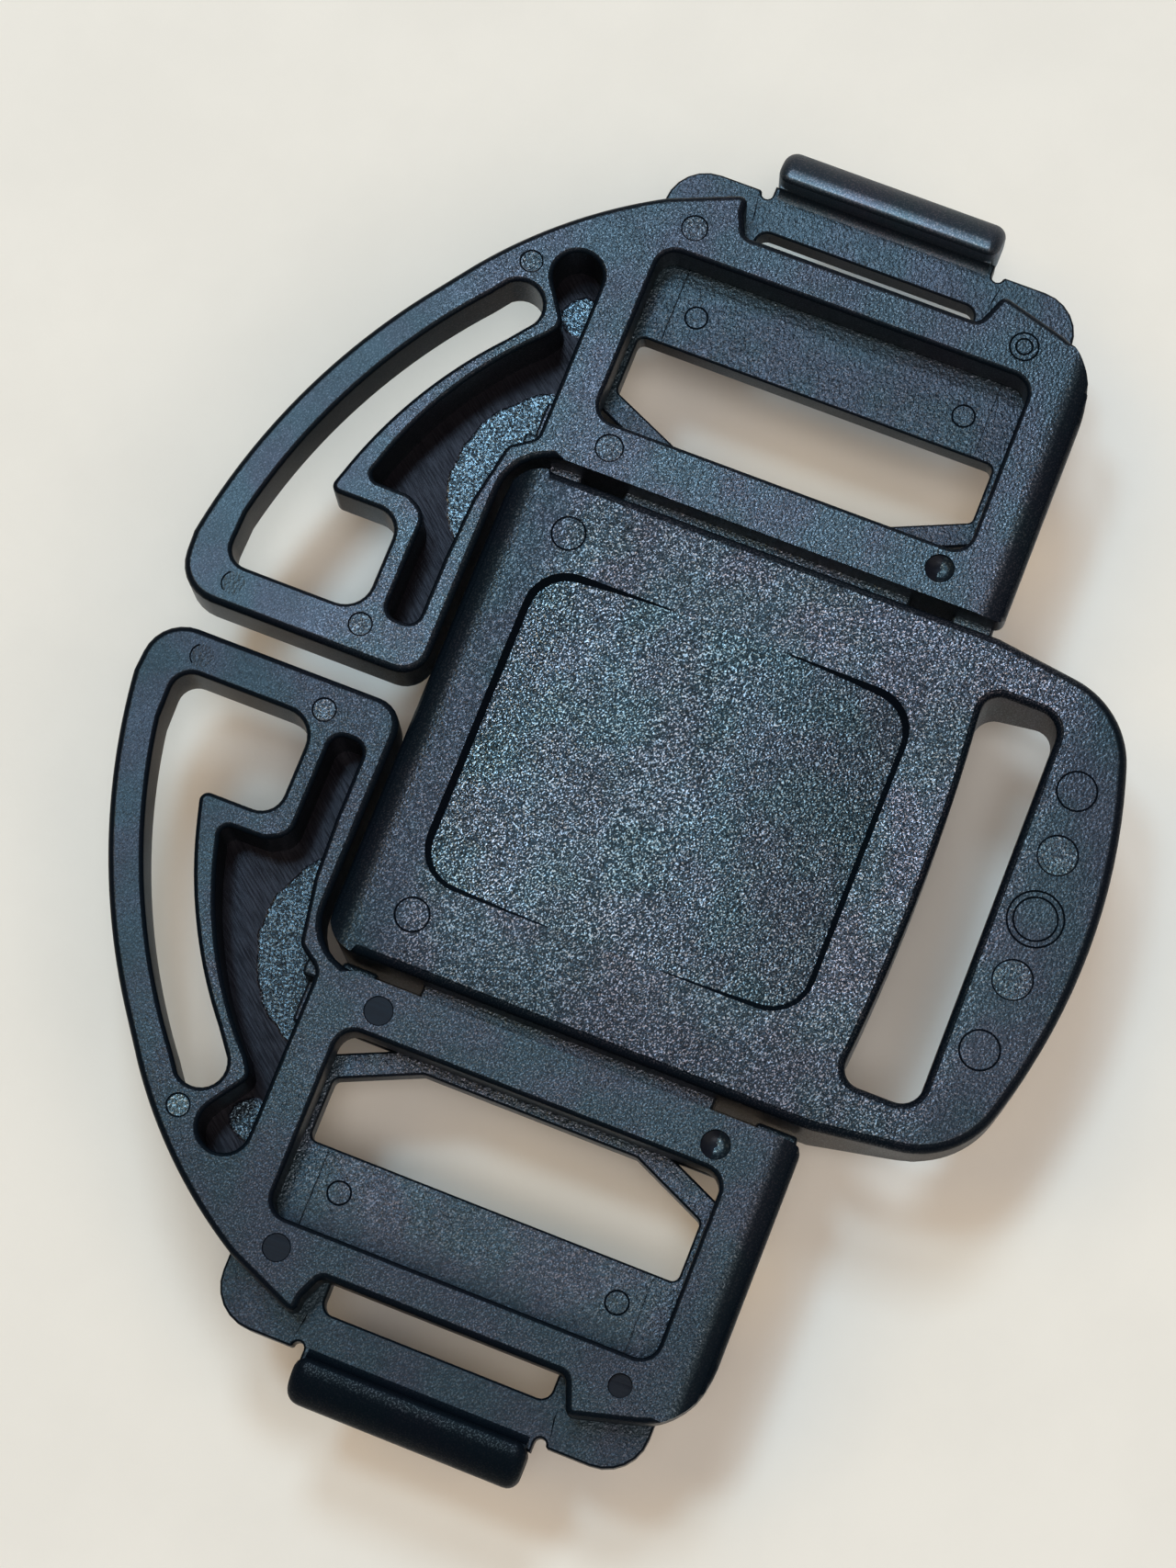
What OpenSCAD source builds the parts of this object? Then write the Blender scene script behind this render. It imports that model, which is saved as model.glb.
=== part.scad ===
// Five-point harness buckle, fastened and lying on its front face.
// X runs from wing to wing, Y towards the shoulder straps, Z up to the back face.
// Millimetres. The origin is under the middle of the whole buckle, on the rest plane.

/* [Housing] */
// Distance between the two faces that look at the wings
housing_width = 35.2; // [34.6:0.1:35.6]
// Length from the crotch strap bar to the shoulder edge
housing_length = 34.5; // [34:0.1:34.8]
// Height from the front rim to the back face
housing_height = 16; // [15.5:0.1:17]
// Height at which the front cover meets the back shell
split_height = 7.5; // [6.8:0.1:7.8]
// Radius of the housing's upright corners
housing_corner = 2.6; // [2:0.1:3]
// Width of the recessed pad on the back
pad_width = 23; // [20:0.5:25]
// Length of the recessed pad on the back
pad_length = 27.2; // [24:0.2:27.4]
// Depth of the pad at its two ends; its floor crowns to nothing half-way
pad_depth = 0.8; // [0.4:0.1:1]

/* [Crotch strap bar] */
// Length of the crotch strap slot
crotch_slot_length = 27.8; // [26:0.2:28]
// Width of the crotch strap slot
crotch_slot_width = 5.4; // [4.6:0.1:5.6]
// Thickness of the bar outside the slot
crotch_bar_thickness = 4.6; // [3.5:0.1:5]

/* [Wings] */
// Gap between the two wings at the shoulder end
wing_gap = 2; // [1.6:0.1:2.4]
// Drop from the housing's back face to the wings' back faces
wing_drop = 0.4; // [0.2:0.1:0.6]
// Thickness of the shoulder strap frames
frame_thickness = 4.5; // [4.2:0.1:4.8]
// Thickness of the waist strap frames
bar_thickness = 2.8; // [2.4:0.1:2.8]
// Depth of the cored pocket in each wing
pocket_depth = 4.4; // [3.5:0.1:4.4]
// Thickness of the skin round and under the pocket
pocket_skin = 1.8; // [1.4:0.1:1.8]
// Length of the waist strap window
window_length = 26.7; // [26:0.1:26.9]
// Thickness of the tongue that enters the housing
tongue_thickness = 3; // [2.6:0.1:3]
// Width of the tongue that enters the housing
tongue_width = 20.7; // [18:0.1:21]

/* [Adjusters] */
// Thickness of the adjuster lever's plate
lever_thickness = 2; // [1.9:0.05:2.1]
// Length of the lever's lipped flap
flap_length = 16.1; // [14:0.1:17]
// Height of the lip above the plate
lip_height = 2.4; // [1.6:0.1:2.6]
// Radius of the hinge pins
pin_radius = 1; // [0.9:0.05:1]
// Radial play of a hinge pin in its lug
pin_play = 0.06; // [0.04:0.01:0.08]

/* [Release button] */
// Radius of the button's face
button_radius = 9; // [8:0.1:9.5]
// Depth of the button's face behind the front rim
button_recess = 0.4; // [0.3:0.1:1]

/* [Colours] */
// Colour of the moulded plastic
plastic_colour = "#17181b";
// Colour of the adjuster levers
lever_colour = "#1b1c20";
// Colour of the release button
button_colour = "#1e1f22";

/* [Hidden] */

$fn = 72;
arc_steps = 14;          // points on each long curved edge
corner_steps = 5;        // points on each rounded corner
overlap = 0.05;          // how far joined shapes of one piece run into each other
joint_gap = 0.1;         // space between pieces that are fixed to each other
slide_gap = 0.4;         // space round a tongue or post in the housing
sweep_gap = 0.35;        // space beside a lever, kept free over its travel

// Levels
wing_back = housing_height - wing_drop;
frame_front = wing_back - frame_thickness;
bar_front = wing_back - bar_thickness;
pocket_floor = wing_back - pocket_depth;
pocket_front = pocket_floor - pocket_skin;
lever_back = bar_front - 0.3;
lever_front = lever_back - lever_thickness;
axis_height = lever_back - lever_thickness / 2;
tongue_back = wing_back - 2.4;
tongue_front = tongue_back - tongue_thickness;

// Housing outline
shoulder_edge = 13;
crotch_edge = shoulder_edge - housing_length;
back_edge_round = 0.9;
shoulder_edge_round = 2.4;
front_edge_round = 2.6;
pad_centre = -4.7;
pad_corner = 3;
crown_radius = (pow(pad_length / 2, 2) + pow(pad_depth, 2)) / (2 * pad_depth);

// Crotch strap bar: a shallow end arc with a tangent corner circle on each side
end_arc_radius = 42;
end_arc_edge = -34.2;
end_corner_radius = 6.3;
end_corner_x = 10.6;
end_arc_y = end_arc_edge + end_arc_radius;
end_corner_y = end_arc_y
    - sqrt(pow(end_arc_radius - end_corner_radius, 2) - pow(end_corner_x, 2));
crotch_slot_near = -21.9;
crotch_slot_corner = 1.5;
crotch_slot_bow = 0.7;
bar_flat_start = -28.4;

// Tongue and its passage
tongue_middle = -4.65;
tongue_near = tongue_middle - tongue_width / 2;
tongue_far = tongue_middle + tongue_width / 2;
tongue_tip = 1.2;
tongue_corner = 0.9;
tongue_root_inset = 0.1;
web_reach = 0.7;
web_ends = [[-20.9, -18], [8.7, 11.2]];
post_x = 9;
post_y = tongue_middle;
post_radius = 1.8;
tongue_root_x = 18.7;
rib_outer_x = 19.95;

// Waist strap window
window_middle = -4.03;
window_inner_x = 22.3;
window_outer_x = 35.25;
window_corner = 1.3;

// Frames change from the thick shoulder part to the thin waist part here
step_y = 11.2;

// Adjuster lever, about its own middle line
lever_middle = -4;
axis_x = 21.3;
lever_half_length = 14.9;
ear_x = 42.6;
ear_corner = 3;
notch_depth = 0.5;
notch_width = 0.8;
flap_edge_x = 39.8;
slot_inner_x = 36.6;
lip_centre_x = 43.2;
lip_radius = 2.7;
lip_wall_x = 42.9;
lip_corner = 0.9;
ring_inner_x = 23;
ring_inner_half = 7.5;
ring_side_x = 25.4;
ring_side_half = 12.9;
ring_outer_x = 29.65;
strut_width = 1.65;
strut_run = [ring_side_x - ring_inner_x, ring_side_half - ring_inner_half];
strut_shift = strut_width * [-strut_run[1], strut_run[0]] / norm(strut_run);
lug_width = 1.7;
lug_outer_x = 22.9;

// Button
button_play = 0.3;
flange_radius = button_radius + 2.5;
cover_lip = 3.6;
flange_thickness = 1.9;
dish_radius = 60;
dish_depth = 0.5;

// Unit vector along v
function unit(v) = v / norm(v);

// Points on an arc with centre c and radius r, between two angles
function arc(c, r, from, to, steps = arc_steps) =
    [for (i = [0 : steps])
        let (a = from + (to - from) * i / steps) [c[0] + r * cos(a), c[1] + r * sin(a)]];

// Arc points, each marked as a corner that stays sharp
function edge_arc(c, r, from, to, steps = arc_steps) =
    [for (p = arc(c, r, from, to, steps)) [p[0], p[1], 0]];

// Points that round the corner p between the neighbours a and b
function corner(a, p, b, r) =
    let (u = unit(a - p), v = unit(b - p),
         half = acos(max(-1, min(1, u * v))) / 2,
         c = p + unit(u + v) * r / sin(half),
         start = p + u * r / tan(half) - c,
         end = p + v * r / tan(half) - c,
         a0 = atan2(start[1], start[0]),
         turn = atan2(end[1], end[0]) - a0,
         sweep = turn > 180 ? turn - 360 : turn < -180 ? turn + 360 : turn)
    [for (i = [0 : corner_steps])
        let (t = a0 + sweep * i / corner_steps) c + r * [cos(t), sin(t)]];

// Outline through corners given as [x, y, corner radius]
function rounded(corners) =
    [for (i = [0 : len(corners) - 1])
        let (n = len(corners), q = corners[i],
             a = corners[(i + n - 1) % n], b = corners[(i + 1) % n],
             p = [q[0], q[1]])
        each q[2] == 0 ? [p] : corner([a[0], a[1]], p, [b[0], b[1]], q[2])];

wing_outline = concat(
    [[wing_gap / 2, 13.4, 2], [wing_gap / 2, 31.2, 2.9]],
    edge_arc([-1, -15.3], 47.15, 82.5, 54),
    edge_arc([8.73, -6.65], 34.45, 54, 29.7),
    [[40.9, 5.15, 0.4], [39.5, 5.1, 0.3], [37.95, 4.4, 0.5],
     [37.95, -12.5, 0.5], [40.35, -13.45, 0.4], [38.75, -19.3, 1.5],
     [36.6, -21, 1.5], [34.4, -21.4, 1], [tongue_root_x, -21.4, 0.6],
     [tongue_root_x, 13.4, 3.4]]);

strap_slot_outline = concat(
    [[4, 28.65, 1.4]],
    edge_arc([-0.5, -15.13], 44.43, 79.5, 50.2),
    edge_arc([27.8, 17.05], 1.7, 42, -118, 8),
    edge_arc([3.9, -7.7], 32.57, 49, 73.5),
    [[11.05, 24.15, 0.6], [11.05, 18.8, 1.6], [4, 18.8, 1.9]]);

pocket_outline = concat(
    [[19.5, 12.3, 0.9], [18.3, 14, 0.8], [13.9, 14.8, 2], [9.5, 15, 2], [4.35, 15, 0.9],
     [4.35, 17.3, 0.9], [11.9, 17.3, 1.5], [12.7, 18.9, 1.2], [12.75, 22.05, 0.6]],
    edge_arc([6.7, -5.43], 27.96, 75.4, 45.2),
    [[27.6, 13.6, 0.9], [30.2, 15.4, 0]],
    edge_arc([31.2, 14], 1.7, 125, -90, 10));

// Shift that brings the middle of the whole buckle to the origin
middle_shift = -(end_arc_edge + max([for (p = rounded(wing_outline)) p[1]])) / 2;

// Upright prism of a 2D shape between two levels
module between(low, high) {
    translate([0, 0, low]) linear_extrude(high - low) children();
}

// Rectangle between two corners, with rounded corners
module rounded_box_2d(low, high, r) {
    translate(low + [r, r]) offset(r = r) square(high - low - [2 * r, 2 * r]);
}

// Housing outline, drawn in by inset all round
module housing_2d(inset = 0) {
    half = housing_width / 2 - inset;
    rounded_box_2d([-half, crotch_edge + inset], [half, shoulder_edge - inset],
                   housing_corner - inset * 0.5);
}

// Outline of the crotch strap bar with the housing's end
module crotch_bar_2d() {
    hull() {
        translate([-housing_width / 2, crotch_edge]) square([housing_width, 2]);
        for (side = [-1, 1])
            translate([side * end_corner_x, end_corner_y]) circle(end_corner_radius);
        intersection() {
            translate([0, end_arc_y]) circle(end_arc_radius, $fn = 360);
            translate([-end_corner_x, end_arc_edge]) square([2 * end_corner_x, 4]);
        }
    }
}

// Crotch strap slot, its near side bowed outwards at mid-length
module crotch_slot_2d() {
    half = crotch_slot_length / 2;
    far = crotch_slot_near - crotch_slot_width;
    bow_radius = (half * half + crotch_slot_bow * crotch_slot_bow) / (2 * crotch_slot_bow);
    difference() {
        rounded_box_2d([-half, far], [half, crotch_slot_near], crotch_slot_corner);
        translate([0, crotch_slot_near - crotch_slot_bow + bow_radius])
            circle(bow_radius, $fn = 720);
    }
}

// The bar's side view: deep at the housing, thinner outside the slot
module crotch_bar_side() {
    flat = housing_height - crotch_bar_thickness;
    rotate([90, 0, 90])
        linear_extrude(housing_width + 2, center = true)
            polygon([[crotch_edge + 2, split_height + joint_gap],
                     [crotch_edge, split_height + joint_gap],
                     [bar_flat_start, flat], [end_arc_edge - 1, flat],
                     [end_arc_edge - 1, housing_height + 1],
                     [crotch_edge + 2, housing_height + 1]]);
}

// Recess of the pad: its floor is a crown with its top at the back face
module pad_recess() {
    difference() {
        between(housing_height - pad_depth - overlap, housing_height + 1)
            rounded_box_2d([-pad_width / 2, pad_centre - pad_length / 2],
                           [pad_width / 2, pad_centre + pad_length / 2], pad_corner);
        translate([0, pad_centre, housing_height - crown_radius])
            rotate([0, 90, 0])
                cylinder(h = pad_width + 2, r = crown_radius, center = true, $fn = 720);
    }
}

// Block of the back shell, with its back edges eased
module back_block() {
    hull() {
        between(split_height + joint_gap, housing_height - shoulder_edge_round) housing_2d();
        between(split_height + joint_gap, housing_height - back_edge_round)
            intersection() {
                housing_2d();
                translate([-housing_width, crotch_edge])
                    square([2 * housing_width, housing_length - 1]);
            }
        between(housing_height - back_edge_round, housing_height)
            intersection() {
                housing_2d(back_edge_round * 0.6);
                translate([-housing_width, crotch_edge])
                    square([2 * housing_width, housing_length - shoulder_edge_round]);
            }
    }
}

module housing_back() {
    color(plastic_colour) translate([0, middle_shift, 0])
        difference() {
            union() {
                back_block();
                intersection() {
                    between(split_height, housing_height) crotch_bar_2d();
                    crotch_bar_side();
                }
            }
            between(0, housing_height + 1) crotch_slot_2d();
            pad_recess();
            between(tongue_front - slide_gap, tongue_back + slide_gap)
                translate([-housing_width, tongue_near - slide_gap])
                    square([2 * housing_width, tongue_far - tongue_near + 2 * slide_gap]);
            for (side = [-1, 1])
                translate([side * post_x, post_y, 0])
                    cylinder(h = tongue_back, r = post_radius + slide_gap);
        }
}

module housing_front() {
    color(plastic_colour) translate([0, middle_shift, 0])
        difference() {
            hull() {
                between(0, 1) housing_2d(front_edge_round);
                between(front_edge_round * 0.3, 2) housing_2d(front_edge_round * 0.3);
                between(front_edge_round, split_height) housing_2d();
            }
            translate([0, post_y, -1]) cylinder(h = split_height, r = button_radius + button_play);
            translate([0, post_y, cover_lip])
                cylinder(h = split_height, r = flange_radius + button_play);
        }
}

module release_button() {
    color(button_colour) translate([0, middle_shift, 0])
        difference() {
            union() {
                translate([0, post_y, button_recess])
                    cylinder(h = cover_lip + joint_gap, r = button_radius);
                translate([0, post_y, cover_lip + joint_gap])
                    cylinder(h = flange_thickness, r = flange_radius);
                for (side = [-1, 1])
                    translate([side * post_x, post_y, cover_lip + 1])
                        cylinder(h = tongue_back - cover_lip - 1, r = post_radius);
            }
            translate([0, post_y, button_recess + dish_depth - dish_radius])
                sphere(dish_radius, $fn = 360);
        }
}

// Lug that carries one end of the adjuster's hinge rod
module hinge_lug(low_y) {
    translate([rib_outer_x - overlap, low_y, pocket_front])
        cube([lug_outer_x - rib_outer_x + overlap, lug_width, bar_front - pocket_front + overlap]);
}

// Room of the hinge rod, through both lugs and the frame beside one of them
module rod_bore(reach) {
    translate([axis_x, lever_middle - reach, axis_height])
        rotate([-90, 0, 0]) cylinder(h = 2 * reach, r = pin_radius + pin_play);
}

// Both strap frames with the tongue that the housing holds
module wing() {
    lug_start = lever_half_length + sweep_gap;
    window_low = window_middle - window_length / 2;
    difference() {
        union() {
            between(bar_front, wing_back) polygon(rounded(wing_outline));
            between(frame_front, wing_back - overlap)
                intersection() {
                    polygon(rounded(wing_outline));
                    translate([0, step_y]) square([50, 30]);
                }
            between(pocket_front, bar_front + overlap)
                intersection() {
                    polygon(rounded(wing_outline));
                    translate([0, step_y]) square([50, 30]);
                    offset(r = pocket_skin) polygon(rounded(pocket_outline));
                }
            translate([tongue_root_x, -20.6, pocket_front])
                cube([rib_outer_x - tongue_root_x, 34.3, bar_front - pocket_front + overlap]);
            between(tongue_front, tongue_back)
                rounded_box_2d([tongue_tip, tongue_near],
                               [rib_outer_x - tongue_root_inset, tongue_far], tongue_corner);
            for (ends = web_ends)
                translate([tongue_root_x - web_reach, ends[0], tongue_front])
                    cube([web_reach + overlap, ends[1] - ends[0], tongue_thickness]);
            hinge_lug(lever_middle + lug_start);
            hinge_lug(lever_middle - lug_start - lug_width);
        }
        rod_bore(lug_start + lug_width + pin_play);
        between(0, housing_height + 1) {
            polygon(rounded(strap_slot_outline));
            rounded_box_2d([window_inner_x, window_low],
                           [window_outer_x, window_low + window_length], window_corner);
            translate([post_x, post_y]) circle(post_radius + slide_gap);
        }
        between(pocket_floor, housing_height + 1) polygon(rounded(pocket_outline));
    }
}

module wing_right() {
    color(plastic_colour) translate([0, middle_shift, 0]) wing();
}

module wing_left() {
    color(plastic_colour) translate([0, middle_shift, 0]) mirror([1, 0, 0]) wing();
}

// Point on the outer side of a slanting strut at the distance x from the middle plane
function strut_point(x, side) =
    [x, side * (ring_inner_half + strut_shift[1]
                + (x - ring_inner_x - strut_shift[0]) * strut_run[1] / strut_run[0])];

// Corners of the lever's hinge end, drawn in beside the slanting struts
function strut_back() =
    let (reach = ring_inner_x + strut_shift[0]
             + (lever_half_length - ring_inner_half - strut_shift[1])
               * strut_run[0] / strut_run[1])
    [strut_point(axis_x, -1), strut_point(reach, -1),
     strut_point(reach, 1), strut_point(axis_x, 1)];

// Outline of the lever's plate, about its middle line
module lever_2d() {
    half = flap_length / 2;
    difference() {
        union() {
            difference() {
                hull() {
                    polygon(strut_back());
                    for (side = [-1, 1])
                        translate([ear_x - ear_corner, side * (lever_half_length - ear_corner)])
                            circle(ear_corner);
                }
                translate([ear_x - notch_depth, -half - notch_width])
                    square([ear_corner, flap_length + 2 * notch_width]);
            }
            translate([flap_edge_x, -half]) square([lip_centre_x - flap_edge_x, flap_length]);
        }
        polygon([[ring_inner_x, -ring_inner_half], [ring_side_x, -ring_side_half],
                 [ring_outer_x, -ring_side_half], [ring_outer_x, ring_side_half],
                 [ring_side_x, ring_side_half], [ring_inner_x, ring_inner_half]]);
        rounded_box_2d([slot_inner_x, -half + 0.05], [flap_edge_x, half - 0.05], lip_corner);
    }
}

// The lip: a quarter-round bead that stands over the plate's outer edge
module lip_2d() {
    rise = lip_height + lever_thickness;
    intersection() {
        union() {
            translate([lip_centre_x, 0]) circle(lip_radius);
            translate([lip_wall_x, -lip_radius])
                square([lip_centre_x - lip_wall_x + overlap, 2 * lip_radius]);
            translate([lip_centre_x, -lip_radius]) square([lip_radius, lip_radius]);
        }
        translate([lip_wall_x, lip_radius - rise]) square([lip_radius * 2, rise]);
    }
}

// Lever that is lifted by its lip to free the waist strap
module adjuster() {
    pin_half = lever_half_length + sweep_gap + lug_width;
    lip_base = lever_front + lip_height + lever_thickness - lip_radius;
    translate([0, lever_middle, 0]) {
        between(lever_front, lever_back) lever_2d();
        translate([0, flap_length / 2, lip_base])
            rotate([90, 0, 0]) linear_extrude(flap_length) lip_2d();
        translate([axis_x, pin_half, axis_height])
            rotate([90, 0, 0]) cylinder(h = 2 * pin_half, r = pin_radius);
    }
}

module adjuster_right() {
    color(lever_colour) translate([0, middle_shift, 0]) adjuster();
}

module adjuster_left() {
    color(lever_colour) translate([0, middle_shift, 0]) mirror([1, 0, 0]) adjuster();
}

housing_back();
housing_front();
release_button();
wing_right();
wing_left();
adjuster_right();
adjuster_left();
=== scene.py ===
"""Dresses a fastened five-point harness buckle that lies on its front face.

Drawings are in millimetres: X from the middle plane towards a wing, Y towards the shoulder
strap edge, Z up. Each moulding is drawn once and turned into a mesh in metres.
"""

import logging
import math
from collections.abc import Iterable
from dataclasses import dataclass, field
from enum import Enum

import bmesh
import bpy
from mathutils import Matrix, Vector

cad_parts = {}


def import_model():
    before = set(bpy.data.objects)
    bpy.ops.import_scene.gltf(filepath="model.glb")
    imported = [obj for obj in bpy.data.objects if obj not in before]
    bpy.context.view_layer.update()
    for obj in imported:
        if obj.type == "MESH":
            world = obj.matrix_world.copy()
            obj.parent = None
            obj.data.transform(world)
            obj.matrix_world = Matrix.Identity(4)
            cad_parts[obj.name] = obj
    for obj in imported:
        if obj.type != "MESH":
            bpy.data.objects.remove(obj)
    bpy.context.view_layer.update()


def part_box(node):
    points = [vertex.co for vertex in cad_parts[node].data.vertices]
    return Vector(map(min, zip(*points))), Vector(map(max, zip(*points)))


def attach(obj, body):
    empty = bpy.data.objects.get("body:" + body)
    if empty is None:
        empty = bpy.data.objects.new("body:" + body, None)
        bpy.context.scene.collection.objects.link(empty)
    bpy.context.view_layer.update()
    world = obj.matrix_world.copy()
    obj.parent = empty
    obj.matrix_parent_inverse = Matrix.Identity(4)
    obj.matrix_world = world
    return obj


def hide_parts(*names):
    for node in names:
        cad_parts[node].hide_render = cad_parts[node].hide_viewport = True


LOG = logging.getLogger("buckle")
MM = 0.001
NEAR = 1e-7                        # metres within which two places count as one
HANDLE_END_Y = -34.2               # drawn Y of the crotch strap bar's end
LEVER_DROP = 3.1                   # from the wing's back to the lever's
SHARP_ANGLE = math.radians(38)     # from which an edge is shaded sharp, and is eased
UPRIGHT = 0.7                      # Z of the direction from which an edge is upright
GROOVE, RISE = 0.07, 0.08          # width and depth of the groove round a mould's mark
DISH = 0.2, (0.1, 0.07, 0.04, 0.01)    # width and depths of a dished mark's steps
TILT, TILT_START = 0.1, 0.15       # depth of a tilted mark, and the share of it at its middle

Point = tuple[float, float]
Triple = tuple[float, float, float]
Face = bmesh.types.BMFace
Vert = bmesh.types.BMVert
Socket = bpy.types.NodeSocket


@dataclass(frozen=True)
class Corner:
    """A corner of an outline and the radius that rounds it."""

    x: float
    y: float
    radius: float = 0.0


class Finish(Enum):
    """Material slots of a dressed moulding."""

    GRAIN = 0
    PIN = 1
    SMOOTH = 2
    FLOOR = 3
    PAD = 4
    # the lips' grain: painted sheen on the right, painted shade on the left and in the housing
    # pad's rim
    MATT = 5


class MarkStyle(Enum):
    """Marks of the mould: steps as (inset, depth) that shape a disc, and its finish."""

    RING = ((GROOVE, RISE), (GROOVE, -RISE)), Finish.GRAIN
    PIN = ((GROOVE, RISE), (GROOVE, -RISE * 0.4)), Finish.PIN
    SMOOTH = ((GROOVE, RISE),), Finish.SMOOTH
    # mark() gives this style a painted highlight on its half towards lower Y
    DISHED = ((0.05, 0.16),), Finish.SMOOTH
    DOUBLE = ((GROOVE, RISE), (GROOVE, -RISE), (0.28, 0.0),
              (GROOVE, RISE), (GROOVE, -RISE)), Finish.GRAIN
    DEEP = ((0.25, 0.0), (0.05, 0.4)), Finish.SMOOTH
    TILTED = ((0.09, 0.0),), Finish.GRAIN


@dataclass(frozen=True)
class Datum:
    """Where the drawings lie in the row frame, worked out from the CAD nodes."""

    shift_y: float
    housing_back: float
    wing_back: float
    lever_back: float
    lever_front: float
    wing_front: float

    @classmethod
    def from_frame(cls) -> "Datum":
        """Reads the levels from the boxes of the CAD nodes.

        Returns:
            The datum, in millimetres.
        """
        housing, wing, lever = map(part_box, ("housing_back", "wing_right", "adjuster_right"))
        wing_back = wing[1].z / MM
        return cls(shift_y=housing[0].y / MM - HANDLE_END_Y,
                   housing_back=housing[1].z / MM, wing_back=wing_back,
                   lever_back=wing_back - LEVER_DROP, lever_front=lever[0].z / MM,
                   wing_front=wing[0].z / MM)


def arc(centre: Point, radius: float, start: float, end: float, steps: int) -> list[Corner]:
    """Samples an arc as sharp corners.

    Args:
        centre: Centre of the arc.
        radius: Its radius.
        start: First angle, in degrees.
        end: Last angle, in degrees.
        steps: Number of stretches.

    Returns:
        The corners from start to end.
    """
    angles = [math.radians(start + (end - start) * i / steps) for i in range(steps + 1)]
    return [Corner(centre[0] + radius * math.cos(a), centre[1] + radius * math.sin(a))
            for a in angles]


def rounded(corners: list[Corner], steps: int = 7) -> list[Point]:
    """Rounds the corners of a closed outline.

    Args:
        corners: The outline's corners in order.
        steps: Stretches for each rounded corner.

    Returns:
        The points of the rounded outline.
    """
    points: list[Point] = []
    for i, corner in enumerate(corners):
        here = Vector((corner.x, corner.y))
        if corner.radius == 0:
            points.append((here.x, here.y))
            continue
        before = corners[i - 1]
        after = corners[(i + 1) % len(corners)]
        u = (Vector((before.x, before.y)) - here).normalized()
        v = (Vector((after.x, after.y)) - here).normalized()
        half = u.angle(v) / 2
        centre = here + (u + v).normalized() * corner.radius / math.sin(half)
        start = here + u * corner.radius / math.tan(half) - centre
        end = here + v * corner.radius / math.tan(half) - centre
        first = math.atan2(start.y, start.x)
        sweep = math.atan2(end.y, end.x) - first
        sweep = (sweep + math.pi) % (2 * math.pi) - math.pi
        for k in range(steps + 1):
            angle = first + sweep * k / steps
            points.append((centre.x + corner.radius * math.cos(angle),
                           centre.y + corner.radius * math.sin(angle)))
    return points


def circle(x: float, y: float, radius: float, steps: int = 36) -> list[Point]:
    """Points of a circle.

    Args:
        x: Centre's X.
        y: Centre's Y.
        radius: Radius.
        steps: Number of points.

    Returns:
        The points, anticlockwise.
    """
    turns = [2 * math.pi * i / steps for i in range(steps)]
    return [(x + radius * math.cos(a), y + radius * math.sin(a)) for a in turns]


def rectangle(low: Point, high: Point, radius: float) -> list[Point]:
    """Points of a rectangle with rounded corners.

    Args:
        low: Lowest corner.
        high: Highest corner.
        radius: Radius of the corners.

    Returns:
        The points, anticlockwise.
    """
    return rounded([Corner(low[0], low[1], radius), Corner(high[0], low[1], radius),
                    Corner(high[0], high[1], radius), Corner(low[0], high[1], radius)])


def mirrored(corners: list[Corner], sign_x: float, sign_y: float) -> list[Corner]:
    """Corners mirrored by the signs of X and Y, in reverse order."""
    return [Corner(sign_x * c.x, sign_y * c.y, c.radius) for c in reversed(corners)]


def unique(parts: Iterable) -> list:
    """The different parts, in the order in which they first come."""
    return list(dict.fromkeys(parts))


def with_edges(faces: list[Face]) -> list:
    """Faces with their edges and vertices."""
    return unique(g for f in faces for g in (f, *f.edges, *f.verts))


def only(kind: type, made: list) -> list:
    """The elements of one kind among those that an operator returns."""
    return [g for g in made if isinstance(g, kind)]


def bevel(bm: bmesh.types.BMesh, edges: list[bmesh.types.BMEdge], radius: float,
          segments: int, clamp: bool = True) -> None:
    """Rounds edges.

    Args:
        bm: The mesh.
        edges: Its edges.
        radius: The radius in millimetres.
        segments: Stretches across the rounding.
        clamp: Whether the radius gives way where there is no room for it.
    """
    bmesh.ops.bevel(bm, geom=edges, offset=radius * MM, offset_type="OFFSET",
                    profile_type="SUPERELLIPSE", segments=segments, profile=0.5,
                    affect="EDGES", clamp_overlap=clamp, loop_slide=False, material=-1)


def link(name: str, data: bpy.types.ID) -> bpy.types.Object:
    """Puts data into the scene as an object.

    Args:
        name: Name of the object.
        data: Its mesh, light or camera.

    Returns:
        The object.
    """
    made = bpy.data.objects.new(name, data)
    bpy.context.scene.collection.objects.link(made)
    return made


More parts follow.
